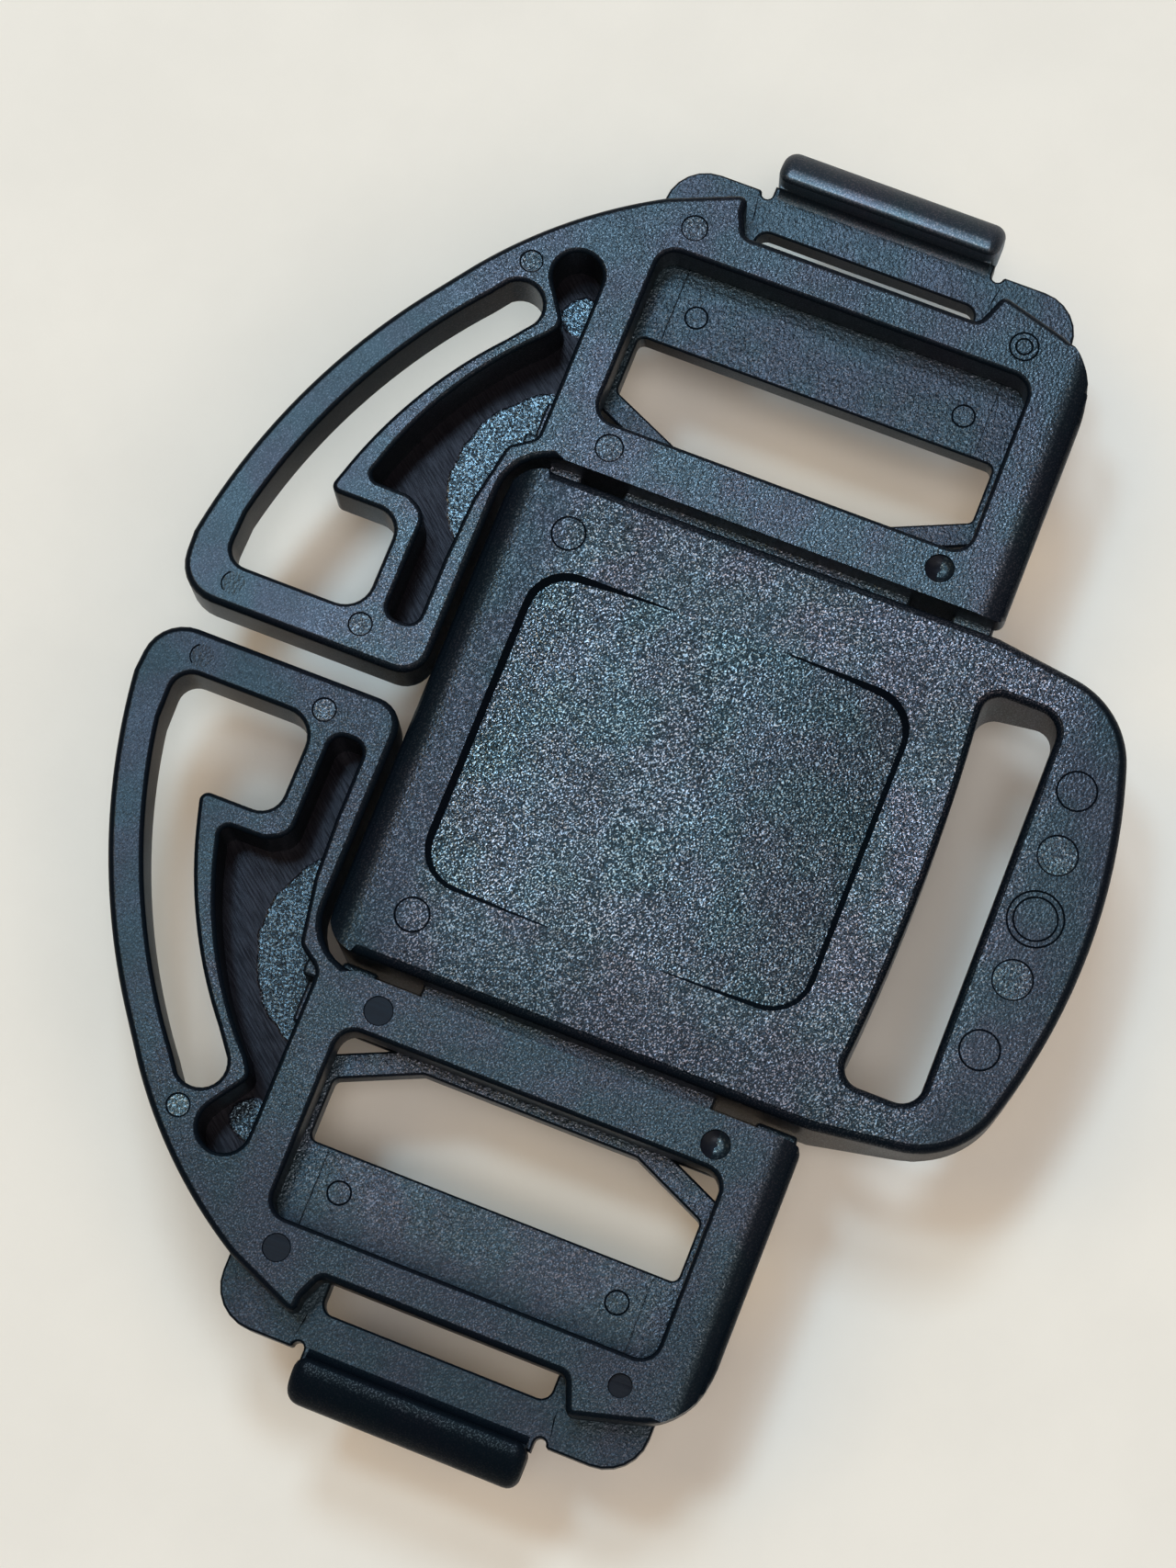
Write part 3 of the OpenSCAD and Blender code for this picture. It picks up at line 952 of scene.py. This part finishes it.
@dataclass
class Wing:
    """One wing: shoulder strap frame, waist strap frame, pocket and tongue."""

    datum: Datum
    plastics: Plastics
    name: str
    node: str
    left: bool
    styles: dict[str, MarkStyle]
    gap: float = 2.0
    frame_thickness: float = 4.5
    bar_thickness: float = 2.8
    pocket_depth: float = 4.4
    step_y: float = 11.2
    edge_radius: float = 0.5
    slot_radius: float = 0.35
    root_x: float = 18.7
    rib_outer_x: float = 19.95
    roll_start: float = -19.3
    roll_end: float = -21.4
    roll_run: float = 2.3
    roll_drop: float = 1.5
    tongue_levels: Point = (5.4, 2.4)          # drops of its front and back from the top
    lug_starts: Point = (11.25, -20.95)        # lowest Y of each hinge lug
    lug_width: float = 1.7
    marks: dict[str, Triple] = field(default_factory=lambda: {
        "foot": (37.2, 7.8, 0.95), "neck": (31.0, 17.3, 0.83), "bar": (20.55, 7.5, 1.0),
        "corner": (20.7, -16.1, 1.0), "end": (37.3, -16.0, 1.05),
        "root": (3.15, 18.5, 0.85), "tip": (2.7, 27.5, 0.85)})

    def outline(self) -> list[Point]:
        """Outline of the whole wing.

        Returns:
            The points.
        """
        half = self.gap / 2
        return rounded([
            Corner(half, 13.4, 2.0), Corner(half, 31.2, 2.9),
            *arc((-1.0, -15.3), 47.15, 82.5, 54.0, 28),
            *arc((8.73, -6.65), 34.45, 53.0, 29.7, 20),
            Corner(40.9, 5.15, 0.55), Corner(39.5, 5.1, 0.4), Corner(37.95, 4.4, 0.6),
            Corner(37.95, -12.5, 0.6), Corner(40.35, -13.45, 0.55), Corner(38.75, -19.3, 4.3),
            Corner(36.6, -21.0, 4.3), Corner(34.4, self.roll_end, 8.0),
            Corner(self.root_x, self.roll_end, 0.7), Corner(self.root_x, 13.4, 3.4)])

    def strap_slot(self) -> list[Point]:
        """Curved slot for the shoulder strap, with its tooth.

        Returns:
            The points.
        """
        return rounded([
            Corner(4.0, 28.65, 1.4),
            *arc((-0.5, -15.13), 44.43, 79.5, 50.2, 24),
            *arc((27.8, 17.05), 1.7, 40, -118, 12),
            *arc((3.9, -7.7), 32.57, 49.0, 73.5, 20),
            Corner(11.05, 24.15, 0.6), Corner(11.05, 18.8, 1.6), Corner(4.0, 18.8, 1.9)])

    def pocket(self) -> list[Point]:
        """Cored pocket with its round end.

        Returns:
            The points.
        """
        return rounded([
            Corner(19.5, 12.3, 0.9), Corner(18.3, 14.0, 0.8), Corner(13.9, 14.8, 2.0),
            Corner(9.5, 15.0, 2.0), Corner(4.35, 15.0, 0.9), Corner(4.35, 17.3, 0.9),
            Corner(11.9, 17.3, 1.5), Corner(12.7, 18.9, 1.2), Corner(12.75, 22.05, 0.6),
            *arc((6.7, -5.43), 27.96, 75.4, 45.2, 20),
            Corner(27.6, 13.6, 0.9), Corner(30.2, 15.4, 0.0),
            *arc((31.2, 14.0), 1.7, 125, -90, 16)])

    def window(self) -> list[Point]:
        """Window for the waist strap."""
        return rectangle((22.3, -17.38), (35.25, 9.32), 1.3)

    def build(self) -> bpy.types.Object:
        """Builds and dresses the wing.

        Returns:
            The wing.
        """
        top = self.datum.wing_back
        bar_front, frame_front = top - self.bar_thickness, top - self.frame_thickness
        plate = Moulding()
        panels = {"pocket": self.pocket(),
                  **{key: circle(*place) for key, place in self.marks.items()}}
        faces = plate.plate(self.outline(), {"slot": self.strap_slot(),
                                             "window": self.window()},
                            panels, top, bar_front)
        plate.cut_y(self.step_y, plate.faces_at(bar_front))
        plate.drop(plate.faces_at(bar_front, self.step_y),
                   self.frame_thickness - self.bar_thickness)
        floor = plate.drop([faces["pocket"]], self.pocket_depth)[0]
        floor.material_index = Finish.FLOOR.value
        for key in self.marks:
            plate.mark(faces[key], self.styles[key])
        plate.roll(top, self.roll_start, self.roll_end, self.roll_run, self.roll_drop, 8)
        plate.ease(self.edge_radius, {"outline"}, top - self.roll_drop, top)
        plate.ease(self.slot_radius, {"slot", "window", "pocket"}, top - 0.01, top, 3)
        plate.ease(self.slot_radius, {"outline", "slot"}, frame_front, frame_front, 3)
        self._add_root(plate)
        piece = plate.finish(self.name, self.datum,
                             self.plastics.slots(self.plastics.wings[self.left]), self.left)
        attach(piece, "buckle")
        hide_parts(self.node)
        return piece

    def _add_root(self, plate: Moulding) -> None:
        """Adds the root rib, the tongue, the webs and the hinge lugs.

        Args:
            plate: The wing's plate.
        """
        top, front = self.datum.wing_back, self.datum.wing_front
        tongue_front, tongue_back = (top - drop for drop in self.tongue_levels)
        rib = self.rib_outer_x - 0.1
        plate.block((self.root_x + 0.05, -20.6, front), (self.rib_outer_x, 13.3, top - 1.0))
        plate.block((1.2, -15.0, tongue_front), (rib, 5.7, tongue_back))
        for low_y, high_y in ((-20.9, -18.0), (8.7, 11.2)):
            plate.block((18.0, low_y, tongue_front), (self.root_x + 0.3, high_y, tongue_back))
        for low_y in self.lug_starts:
            plate.block((rib, low_y, front),
                        (22.9, low_y + self.lug_width, top - self.bar_thickness + 0.2))


@dataclass
class Lever:
    """One adjuster lever, drawn about its own middle line."""

    datum: Datum
    plastics: Plastics
    name: str
    node: str
    body: str
    left: bool
    middle: float = -4.0
    axis_x: float = 21.3
    half_length: float = 14.9
    rod_half: float = 17.0
    rod_end_radius: float = 0.15
    ear_x: float = 42.6
    flap_half: float = 8.05
    notch: float = 0.8
    notch_depth: float = 0.5
    ring_inner: Point = (23.0, 7.5)
    ring_side: Point = (25.4, 12.9)
    ring_outer_x: float = 29.65
    strut_back: tuple[Point, Point] = ((21.3, 7.74), (24.48, 14.9))
    slot_x: Point = (36.6, 39.8)
    lip_x: float = 43.2
    lip_wall_x: float = 42.9
    lip_end_radius: float = 0.9
    foot_radius: float = 0.75
    lip_radius: float = 2.7
    lip_height: float = 2.4
    line_x: Point = (30.0, 36.2)
    line_y: float = 11.4
    line_width: float = 0.13
    line_depth: float = 0.25
    mark: Triple = (32.25, 9.75, 0.85)
    edge_radius: float = 0.18

    def _shift(self, points: list[Point]) -> list[Point]:
        """Moves points from the lever's own middle line to the drawing."""
        return [(x, y + self.middle) for x, y in points]

    def outline(self) -> list[Point]:
        """Outline of the plate with its ears and flap.

        Returns:
            The points.
        """
        side = [Corner(*self.strut_back[0]), Corner(*self.strut_back[1], 0.5),
                Corner(self.ear_x, self.half_length, 3.0),
                Corner(self.ear_x, self.flap_half + self.notch, 0.19),
                *arc((self.ear_x - self.notch_depth + self.notch / 2,
                      self.flap_half + self.notch / 2), self.notch / 2, 90, 270, 8),
                Corner(self.lip_x, self.flap_half)]
        return self._shift(rounded(side + mirrored(side, 1, -1), 6))

    def ring(self) -> list[Point]:
        """Opening of the ring, its corners cut by the slanting struts.

        Returns:
            The points.
        """
        half = [Corner(*self.ring_inner, 0.5), Corner(*self.ring_side, 0.5),
                Corner(self.ring_outer_x, self.ring_side[1], 0.5)]
        return self._shift(rounded(half + mirrored(half, 1, -1), 5))

    def build(self) -> bpy.types.Object:
        """Builds and dresses the lever.

        Returns:
            The lever.
        """
        top, bottom = self.datum.lever_back, self.datum.lever_front
        plate = Moulding()
        slot = self._shift(rectangle((self.slot_x[0], -self.flap_half + 0.1),
                                     (self.slot_x[1], self.flap_half - 0.1), 0.8))
        panels = {}
        start, end = self.line_x
        for side in (-1, 1):
            low, high = (side * self.line_y + edge * self.line_width / 2 for edge in (-1, 1))
            panels[f"line{side}"] = self._shift(
                [(start, low), (end, low), (end, high), (start, high)])
            panels[f"mark{side}"] = self._shift(
                circle(self.mark[0], side * self.mark[1], self.mark[2]))
        faces = plate.plate(self.outline(), {"ring": self.ring(), "slot": slot},
                            panels, top, bottom)
        for side in (-1, 1):
            plate.drop([faces[f"line{side}"]], self.line_depth)
            plate.mark(faces[f"mark{side}"], MarkStyle.RING)
        for level in (top, bottom):
            plate.ease(self.edge_radius, {"outline", "ring", "slot"}, level, level, 3)
        self._add_lip(plate)
        self._add_rod(plate)
        grain = self.plastics.levers[self.left]
        piece = plate.finish(self.name, self.datum, self.plastics.slots(grain, self.left),
                             self.left)
        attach(piece, self.body)
        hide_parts(self.node)
        return piece

    def _add_lip(self, plate: Moulding) -> None:
        """Adds the rounded lip by which the lever is lifted, and the fillet at its foot.

        Args:
            plate: The lever's plate.
        """
        top, bottom = self.datum.lever_back, self.datum.lever_front
        crest = top + self.lip_height
        side = rounded([
            Corner(self.lip_wall_x, bottom, 0.2), Corner(self.lip_wall_x, crest, 0.4),
            *arc((self.lip_x, crest - self.lip_radius), self.lip_radius, 84, 4, 18),
            Corner(self.lip_x + self.lip_radius, bottom, 0.6)], 5)
        plate.absorb(self._bead(side, self.flap_half, self.lip_end_radius, 6))
        reach, wall = self.foot_radius, self.lip_wall_x
        foot = [(wall - reach + reach * math.sin(a), top + reach - reach * math.cos(a))
                for a in (math.radians(10 * i) for i in range(1, 10))]
        foot += [(wall + 0.2, top + reach), (wall + 0.2, top - 0.2),
                 (wall - reach + 0.1, top - 0.2)]
        plate.absorb(self._bead(foot, self.flap_half - 0.35, 0.0, 1))

    def _bead(self, section: list[Point], half: float, radius: float,
              segments: int) -> Moulding:
        """Draws a bead that keeps its section along Y.

        Args:
            section: Points of the section, as X and Z.
            half: Half of its length.
            radius: Rounding of its ends.
            segments: Stretches across that rounding.

        Returns:
            The bead.
        """
        bead = Moulding()
        y = (self.middle - half) * MM
        face = bead.bm.faces.new([bead.bm.verts.new((x * MM, y, z * MM)) for x, z in section])
        grown = bmesh.ops.extrude_face_region(bead.bm, geom=[face])["geom"]
        bmesh.ops.translate(bead.bm, verts=only(Vert, grown), vec=(0, 2 * half * MM, 0))
        bmesh.ops.recalc_face_normals(bead.bm, faces=bead.bm.faces)
        for end in (-1, 1) if radius > 0 else ():
            cap = min(bead.bm.faces, key=lambda f: -end * f.calc_center_median().y)
            self._round_end(bead, cap, end * radius, segments)
        for part in bead.bm.faces:
            part.material_index = Finish.MATT.value
        return bead

    @staticmethod
    def _round_end(bead: Moulding, cap: Face, radius: float, segments: int) -> None:
        """Draws a bead's end in and closes it with shrinking copies of its section.

        Args:
            bead: The bead.
            cap: The face that closes the end.
            radius: Rounding; its sign is the end's direction along Y.
            segments: Number of copies.
        """
        middle = cap.calc_center_bounds()
        spans = [max(abs(v.co[i] - middle[i]) for v in cap.verts) / MM for i in (0, 2)]
        bmesh.ops.translate(bead.bm, verts=list(cap.verts), vec=(0, -radius * MM, 0))
        done = 0.0
        shrunk = [1.0, 1.0]
        for k in range(1, segments + 1):
            angle = math.pi / 2 * k / segments
            cap = bmesh.ops.extrude_discrete_faces(bead.bm, faces=[cap])["faces"][0]
            reach = radius * math.sin(angle)
            inset = abs(radius) * (1 - math.cos(angle))
            wanted = [1 - inset / span for span in spans]
            bmesh.ops.translate(bead.bm, verts=list(cap.verts),
                                vec=(0, (reach - done) * MM, 0))
            bmesh.ops.scale(bead.bm, verts=list(cap.verts),
                            vec=(wanted[0] / shrunk[0], 1, wanted[1] / shrunk[1]),
                            space=Matrix.Translation(-cap.calc_center_bounds()))
            done, shrunk = reach, wanted

    def _add_rod(self, plate: Moulding) -> None:
        """Adds the hinge rod.

        Args:
            plate: The lever's plate.
        """
        top, bottom = self.datum.lever_back, self.datum.lever_front
        place = Matrix.Translation((self.axis_x * MM, self.middle * MM,
                                    (top + bottom) / 2 * MM))
        rod = bmesh.ops.create_cone(
            plate.bm, cap_ends=True, segments=40, radius1=(top - bottom) / 2 * MM,
            radius2=(top - bottom) / 2 * MM, depth=2 * self.rod_half * MM,
            matrix=place @ Matrix.Rotation(math.pi / 2, 4, "X"))["verts"]
        ends = unique(e for v in rod for e in v.link_edges
                      if abs(e.verts[0].co.y - e.verts[1].co.y) < NEAR)
        bevel(plate.bm, ends, self.rod_end_radius, 2)


@dataclass
class Housing:
    """Centre block: back shell with the crotch strap bar, front cover and release button."""

    datum: Datum
    plastics: Plastics
    width: float = 35.2
    shoulder_edge: float = 13.0
    crotch_edge: float = -21.5
    split: float = 7.5
    corner: float = 2.6
    edge_radius: float = 0.7
    slot_radius: float = 0.55
    underside_radius: float = 0.35
    cover_radius: float = 2.5
    hole_edge_radius: float = 0.4
    seam_radius: float = 0.3
    band_start: float = 10.4
    band_run: float = 2.9
    band_drop: float = 1.5
    pad_middle: float = -4.7
    pad_half: Point = (11.5, 13.6)
    pad_depth: float = 0.8
    pad_slope: float = 0.42
    pad_corner: float = 3.0
    pad_cuts: int = 28
    pad_lift: float = 0.004
    rim_shade_depth: float = 0.08            # depth from which the pad's rim is painted dark as shade
    rim_closing: float = 0.9           # share of the rim that closes at the pad's mid-length
    bar_flat_start: float = -28.4
    bar_thickness: float = 4.6
    button_middle: float = -4.65
    button_radius: float = 9.0
    button_back: float = 5.6
    button_play: float = 0.3
    dial_ticks: int = 12

    def outline(self, bar: bool) -> list[Point]:
        """Outline of the block.

        Args:
            bar: Whether the crotch strap bar belongs to it.

        Returns:
            The points.
        """
        half = self.width / 2
        top = [Corner(half, self.shoulder_edge, self.corner),
               Corner(-half, self.shoulder_edge, self.corner)]
        if not bar:
            return rounded([Corner(-half, self.crotch_edge, self.corner),
                            Corner(half, self.crotch_edge, self.corner), *top], 9)
        low_left = [*arc((-10.6, -26.29), 6.3, 187.6, 252.7, 14),
                    *arc((0.0, 7.8), 42.0, 254, 270, 8)]
        return rounded([*top, Corner(-half, self.crotch_edge), *low_left,
                        *mirrored(low_left[:-1], -1, 1), Corner(half, self.crotch_edge)], 9)

    def crotch_slot(self) -> list[Point]:
        """Slot for the crotch strap, its near side bowed at mid-length.

        Returns:
            The points.
        """
        near, far, half, bow = -21.9, -27.3, 13.9, 0.7
        radius = (half * half + bow * bow) / (2 * bow)
        reach = math.degrees(math.asin((half - 1.6) / radius))
        return rounded([Corner(-half, near - 0.05, 1.3), Corner(-half, far, 1.5),
                        Corner(half, far, 1.5), Corner(half, near - 0.05, 1.3),
                        *arc((0.0, near - bow + radius), radius,
                             -90 + reach, -90 - reach, 16)])

    def _shape_bar(self, shell: Moulding, bottom: float) -> None:
        """Slopes the bar's underside up to its thin outer part.

        Args:
            shell: The back shell.
            bottom: Height of the block's underside.
        """
        for y in (self.crotch_edge, self.bar_flat_start):
            shell.cut_y(y, shell.faces_at(bottom))
        flat = self.datum.housing_back - self.bar_thickness
        slope = (flat - bottom) / (self.crotch_edge - self.bar_flat_start)
        for vert in shell.bm.verts:
            run = self.crotch_edge - vert.co.y / MM
            if run > 0 and abs(vert.co.z - bottom * MM) < NEAR:
                vert.co.z = min(flat, bottom + slope * run) * MM

    def _sink_pad(self, shell: Moulding, face: Face) -> None:
        """Sinks the pad: deepest at its two ends, level at mid-length, its rim painted dark as
        shade.

        Args:
            shell: The back shell.
            face: The pad's face.
        """
        face.material_index = Finish.PAD.value
        rim = bmesh.ops.inset_individual(shell.bm, faces=[face], depth=0,
                                         thickness=self.pad_slope * MM,
                                         use_even_offset=True)["faces"]
        # painted shade: the rim takes the lips' slot, which on the housing holds the dark left
        # lip grain
        for part in rim:
            part.material_index = Finish.MATT.value
        parts = [face, *rim]
        half, inner_half = self.pad_half[1], self.pad_half[1] - self.pad_slope
        straight = half - self.pad_corner
        for i in range(1, self.pad_cuts):
            y = self.pad_middle - half + 2 * half * i / self.pad_cuts
            whole = [f for f in parts if abs(y - self.pad_middle) >= straight
                     and f.material_index != Finish.PAD.value]
            parts = whole + shell.cut_y(y, [f for f in parts if f not in whole])
        closing_depth = self.pad_depth * (straight / inner_half) ** 2 + self.pad_lift
        for vert in {v for f in parts if f.material_index == Finish.PAD.value
                     for v in f.verts}:
            share = (vert.co.y / MM - self.pad_middle) / inner_half
            depth = self.pad_depth * share * share + self.pad_lift
            vert.co.z -= depth * MM
            if abs(abs(vert.co.x) / MM - self.pad_half[0] + self.pad_slope) < 0.01:
                closed = self.pad_slope * max(0.0, 1.0 - depth / closing_depth)
                vert.co.x += math.copysign(self.rim_closing * closed * MM, vert.co.x)
        top = max(v.co.z for f in parts for v in f.verts)
        for part in parts:
            if (part.material_index == Finish.MATT.value
                    and top - min(v.co.z for v in part.verts) < self.rim_shade_depth * MM):
                part.material_index = Finish.GRAIN.value

    def build_back(self) -> bpy.types.Object:
        """Builds the back shell with the crotch strap bar.

        Returns:
            The shell.
        """
        top, bottom = self.datum.housing_back, self.split + 0.1
        shell = Moulding()
        pad = rectangle((-self.pad_half[0], self.pad_middle - self.pad_half[1]),
                        (self.pad_half[0], self.pad_middle + self.pad_half[1]),
                        self.pad_corner)
        rings = {"block_right": (13.9, 7.8, 1.22), "block_left": (-13.9, 7.8, 1.22),
                 "bar_right": (9.6, -29.8, 1.4), "bar_left": (-8.8, -29.8, 1.4),
                 "centre": (0.6, -30.2, 1.95)}
        dials = {"dial_right": (5.1, -30.1, 1.4), "dial_left": (-3.7, -30.2, 1.4)}
        panels = {"pad": pad,
                  **{key: circle(*place) for key, place in {**rings, **dials}.items()}}
        faces = shell.plate(self.outline(True), {"slot": self.crotch_slot()},
                            panels, top, bottom)
        self._shape_bar(shell, bottom)
        shell.roll(top, self.band_start, self.shoulder_edge, self.band_run,
                   self.band_drop, 9)
        self._sink_pad(shell, faces["pad"])
        for key in rings:
            style = MarkStyle.DOUBLE if key == "centre" else MarkStyle.RING
            shell.mark(faces[key], style)
        shell.ease(self.edge_radius, {"outline"}, top - self.band_drop, top, 5)
        shell.ease(self.slot_radius, {"slot"}, top - 0.01, top, 4)
        shell.ease(self.underside_radius, {"outline", "slot"}, bottom,
                   top - self.bar_thickness, 3)
        for key in dials:
            self._cut_dial(shell, faces[key], dials[key])
        # the left lip grain fills the slot that paints shade into the pad's rim
        piece = shell.finish("housing_back_shell", self.datum,
                             self.plastics.slots(self.plastics.housing, True))
        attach(piece, "buckle")
        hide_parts("housing_back")
        return piece

    def _cut_dial(self, shell: Moulding, face: Face, place: Triple) -> None:
        """Sinks a round insert and stands short tick marks and a pointer on it.

        Args:
            shell: The back shell.
            face: The insert's face.
            place: Its middle and radius.
        """
        shell.mark(face, MarkStyle.PIN)
        x, y, radius = place
        level = self.datum.housing_back - 0.06
        ticks = [((0.42, 0.13), radius * 0.68, 2 * math.pi * i / self.dial_ticks)
                 for i in range(self.dial_ticks)]
        for (length, width), reach, turn in [*ticks, ((0.2, 0.9), 0.0, 0.0)]:
            made = bmesh.ops.create_cube(shell.bm, size=1.0)["verts"]
            bmesh.ops.scale(shell.bm, verts=made, vec=(length * MM, width * MM, 0.1 * MM))
            bmesh.ops.translate(shell.bm, verts=made, vec=(reach * MM, 0, 0))
            bmesh.ops.rotate(shell.bm, verts=made, cent=(0, 0, 0),
                             matrix=Matrix.Rotation(turn, 3, "Z"))
            bmesh.ops.translate(shell.bm, verts=made, vec=(x * MM, y * MM, level * MM))

    def build_front(self) -> bpy.types.Object:
        """Builds the front cover with the button's opening.

        Returns:
            The cover.
        """
        cover = Moulding()
        hole = circle(0.0, self.button_middle, self.button_radius + self.button_play, 96)
        cover.plate(self.outline(False), {"hole": hole}, {}, self.split, 0.0)
        cover.ease(self.cover_radius, {"outline"}, 0.0, 0.0, 8)
        cover.ease(self.hole_edge_radius, {"hole"}, 0.0, 0.0, 3)
        cover.ease(self.seam_radius, {"outline"}, self.split, self.split, 2)
        piece = cover.finish("housing_front_cover", self.datum,
                             self.plastics.slots(self.plastics.housing))
        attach(piece, "buckle")
        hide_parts("housing_front")
        return piece

    def build_button(self) -> bpy.types.Object:
        """Builds the release button by turning its section round its axis.

        Returns:
            The button.
        """
        button = Moulding()
        low, r = 0.4, self.button_radius
        section = [(0.0, low + 0.5), (1.6, low + 0.48), (3.2, low + 0.42), (4.8, low + 0.31),
                   (6.2, low + 0.18), (7.2, low + 0.06), (7.9, low), (r - 0.5, low),
                   (r - 0.25, low + 0.07), (r - 0.07, low + 0.25), (r, low + 0.5),
                   (r, self.button_back), (0.0, self.button_back)]
        verts = [button.bm.verts.new((x * MM, 0, z * MM)) for x, z in section]
        edges = [button.bm.edges.new(pair) for pair in zip(verts, verts[1:])]
        bmesh.ops.spin(button.bm, geom=verts + edges, cent=(0, 0, 0), axis=(0, 0, 1),
                       dvec=(0, 0, 0), angle=2 * math.pi, steps=96, use_merge=True,
                       use_duplicate=False)
        bmesh.ops.remove_doubles(button.bm, verts=button.bm.verts, dist=NEAR)
        bmesh.ops.translate(button.bm, verts=button.bm.verts,
                            vec=(0, self.button_middle * MM, 0))
        piece = button.finish("release_button_cap", self.datum,
                              self.plastics.slots(self.plastics.button))
        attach(piece, "buckle")
        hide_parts("release_button")
        return piece


@dataclass(frozen=True)
class Camera:
    """The photograph's camera, as fitted to the mirrored marks of the two wings."""

    place: Triple = (-50.912, -24.887, 248.330)
    azimuth: float = 207.046
    elevation: float = 77.408
    roll: float = -5.632
    focal_pixels: float = 4200.0
    image_height: float = 1707.0
    sensor: float = 36.0

    def build(self, datum: Datum) -> None:
        """Places the camera.

        Args:
            datum: Where the drawings lie.
        """
        data = bpy.data.cameras.new("camera")
        data.sensor_fit = "VERTICAL"
        data.sensor_height = self.sensor
        data.lens = self.focal_pixels / self.image_height * self.sensor
        data.clip_start = 0.01
        camera = link("camera", data)
        az, el, roll = map(math.radians, (self.azimuth, self.elevation, self.roll))
        back = Vector((math.cos(el) * math.cos(az), math.cos(el) * math.sin(az), math.sin(el)))
        level = Vector((-math.sin(az), math.cos(az), 0.0))
        tilt = level.cross(-back)
        right = math.cos(roll) * level + math.sin(roll) * tilt
        up = -math.sin(roll) * level + math.cos(roll) * tilt
        x, y, z = self.place
        camera.matrix_world = Matrix((
            (right.x, up.x, back.x, x * MM),
            (right.y, up.y, back.y, (y + datum.shift_y) * MM),
            (right.z, up.z, back.z, (z + datum.wing_back) * MM),
            (0, 0, 0, 1)))
        bpy.context.scene.camera = camera


@dataclass(frozen=True)
class Lamp:
    """A soft square light that looks at the buckle."""

    name: str
    place: Triple
    size: float
    power: float
    colour: Triple

    def build(self) -> None:
        """Places the light."""
        data = bpy.data.lights.new(self.name, "AREA")
        data.size = self.size
        data.energy = self.power
        data.color = self.colour
        lamp = link(self.name, data)
        lamp.location = self.place
        lamp.rotation_euler = Vector(self.place).to_track_quat("Z", "Y").to_euler()


@dataclass(frozen=True)
class Studio:
    """Pale floor, soft lights and a dim warm surrounding."""

    lamps: tuple[Lamp, ...] = (
        Lamp("cool_overhead", (0.12, 0.26, 0.96), 0.13, 1.95, (0.56, 0.84, 1.0)),
        Lamp("cool_softbox", (0.42, 0.2, 1.0), 0.22, 3.1, (0.64, 0.86, 1.0)),
        Lamp("warm_side", (-0.06, 0.53, 0.96), 0.45, 1.95, (1.0, 0.68, 0.29)),
        Lamp("warm_fill", (-0.25, -0.62, 1.05), 0.9, 4.9, (1.0, 0.80, 0.6)),
        Lamp("room_light", (-0.22, -0.12, 1.2), 0.35, 4.0, (1.0, 0.94, 0.88)),
        Lamp("far_wall", (0.95, 0.1, 0.45), 0.9, 1.3, (1.0, 0.96, 0.92)),
        Lamp("ceiling", (0.0, 0.0, 1.4), 2.8, 2.6, (1.0, 0.86, 0.82)))
    ambient: Triple = (1.0, 0.86, 0.8)
    ambient_strength: float = 0.05
    floor_reach: float = 1.5

    def build(self) -> None:
        """Builds the floor, the lights and the surrounding."""
        bm = bmesh.new()
        bmesh.ops.create_grid(bm, x_segments=1, y_segments=1, size=self.floor_reach)
        mesh = bpy.data.meshes.new("floor")
        bm.to_mesh(mesh)
        bm.free()
        mesh.materials.append(Paper().build())
        link("floor", mesh)
        for lamp in self.lamps:
            lamp.build()
        world = bpy.data.worlds.new("surrounding")
        world.use_nodes = True
        sky = world.node_tree.nodes["Background"]
        sky.inputs["Color"].default_value = (*self.ambient, 1.0)
        sky.inputs["Strength"].default_value = self.ambient_strength
        scene = bpy.context.scene
        scene.world = world
        scene.view_settings.view_transform = "Standard"
        scene.view_settings.look = "None"


def main() -> None:
    """Builds the dressed buckle, its studio and its camera."""
    logging.basicConfig(level=logging.INFO, format="%(name)s %(message)s")
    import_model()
    datum = Datum.from_frame()
    plastics = Plastics()
    housing = Housing(datum, plastics)
    shared = {"neck": MarkStyle.PIN, "root": MarkStyle.PIN,
              "corner": MarkStyle.DISHED, "tip": MarkStyle.TILTED}
    right_marks = {**shared, "foot": MarkStyle.PIN, "bar": MarkStyle.PIN,
                   "end": MarkStyle.DOUBLE}
    left_marks = {**shared, "foot": MarkStyle.SMOOTH, "bar": MarkStyle.SMOOTH,
                  "end": MarkStyle.DEEP}
    wings = (Wing(datum, plastics, "right_wing", "wing_right", False, right_marks),
             Wing(datum, plastics, "left_wing", "wing_left", True, left_marks))
    levers = (
        Lever(datum, plastics, "right_lever", "adjuster_right", "lever_right", False),
        Lever(datum, plastics, "left_lever", "adjuster_left", "lever_left", True))
    for build in (housing.build_back, housing.build_front, housing.build_button,
                  *(part.build for part in (*wings, *levers))):
        piece = build()
        LOG.info("%s: %d faces", piece.name, len(piece.data.polygons))
    Studio().build()
    Camera().build(datum)


if __name__ == "__main__":
    main()
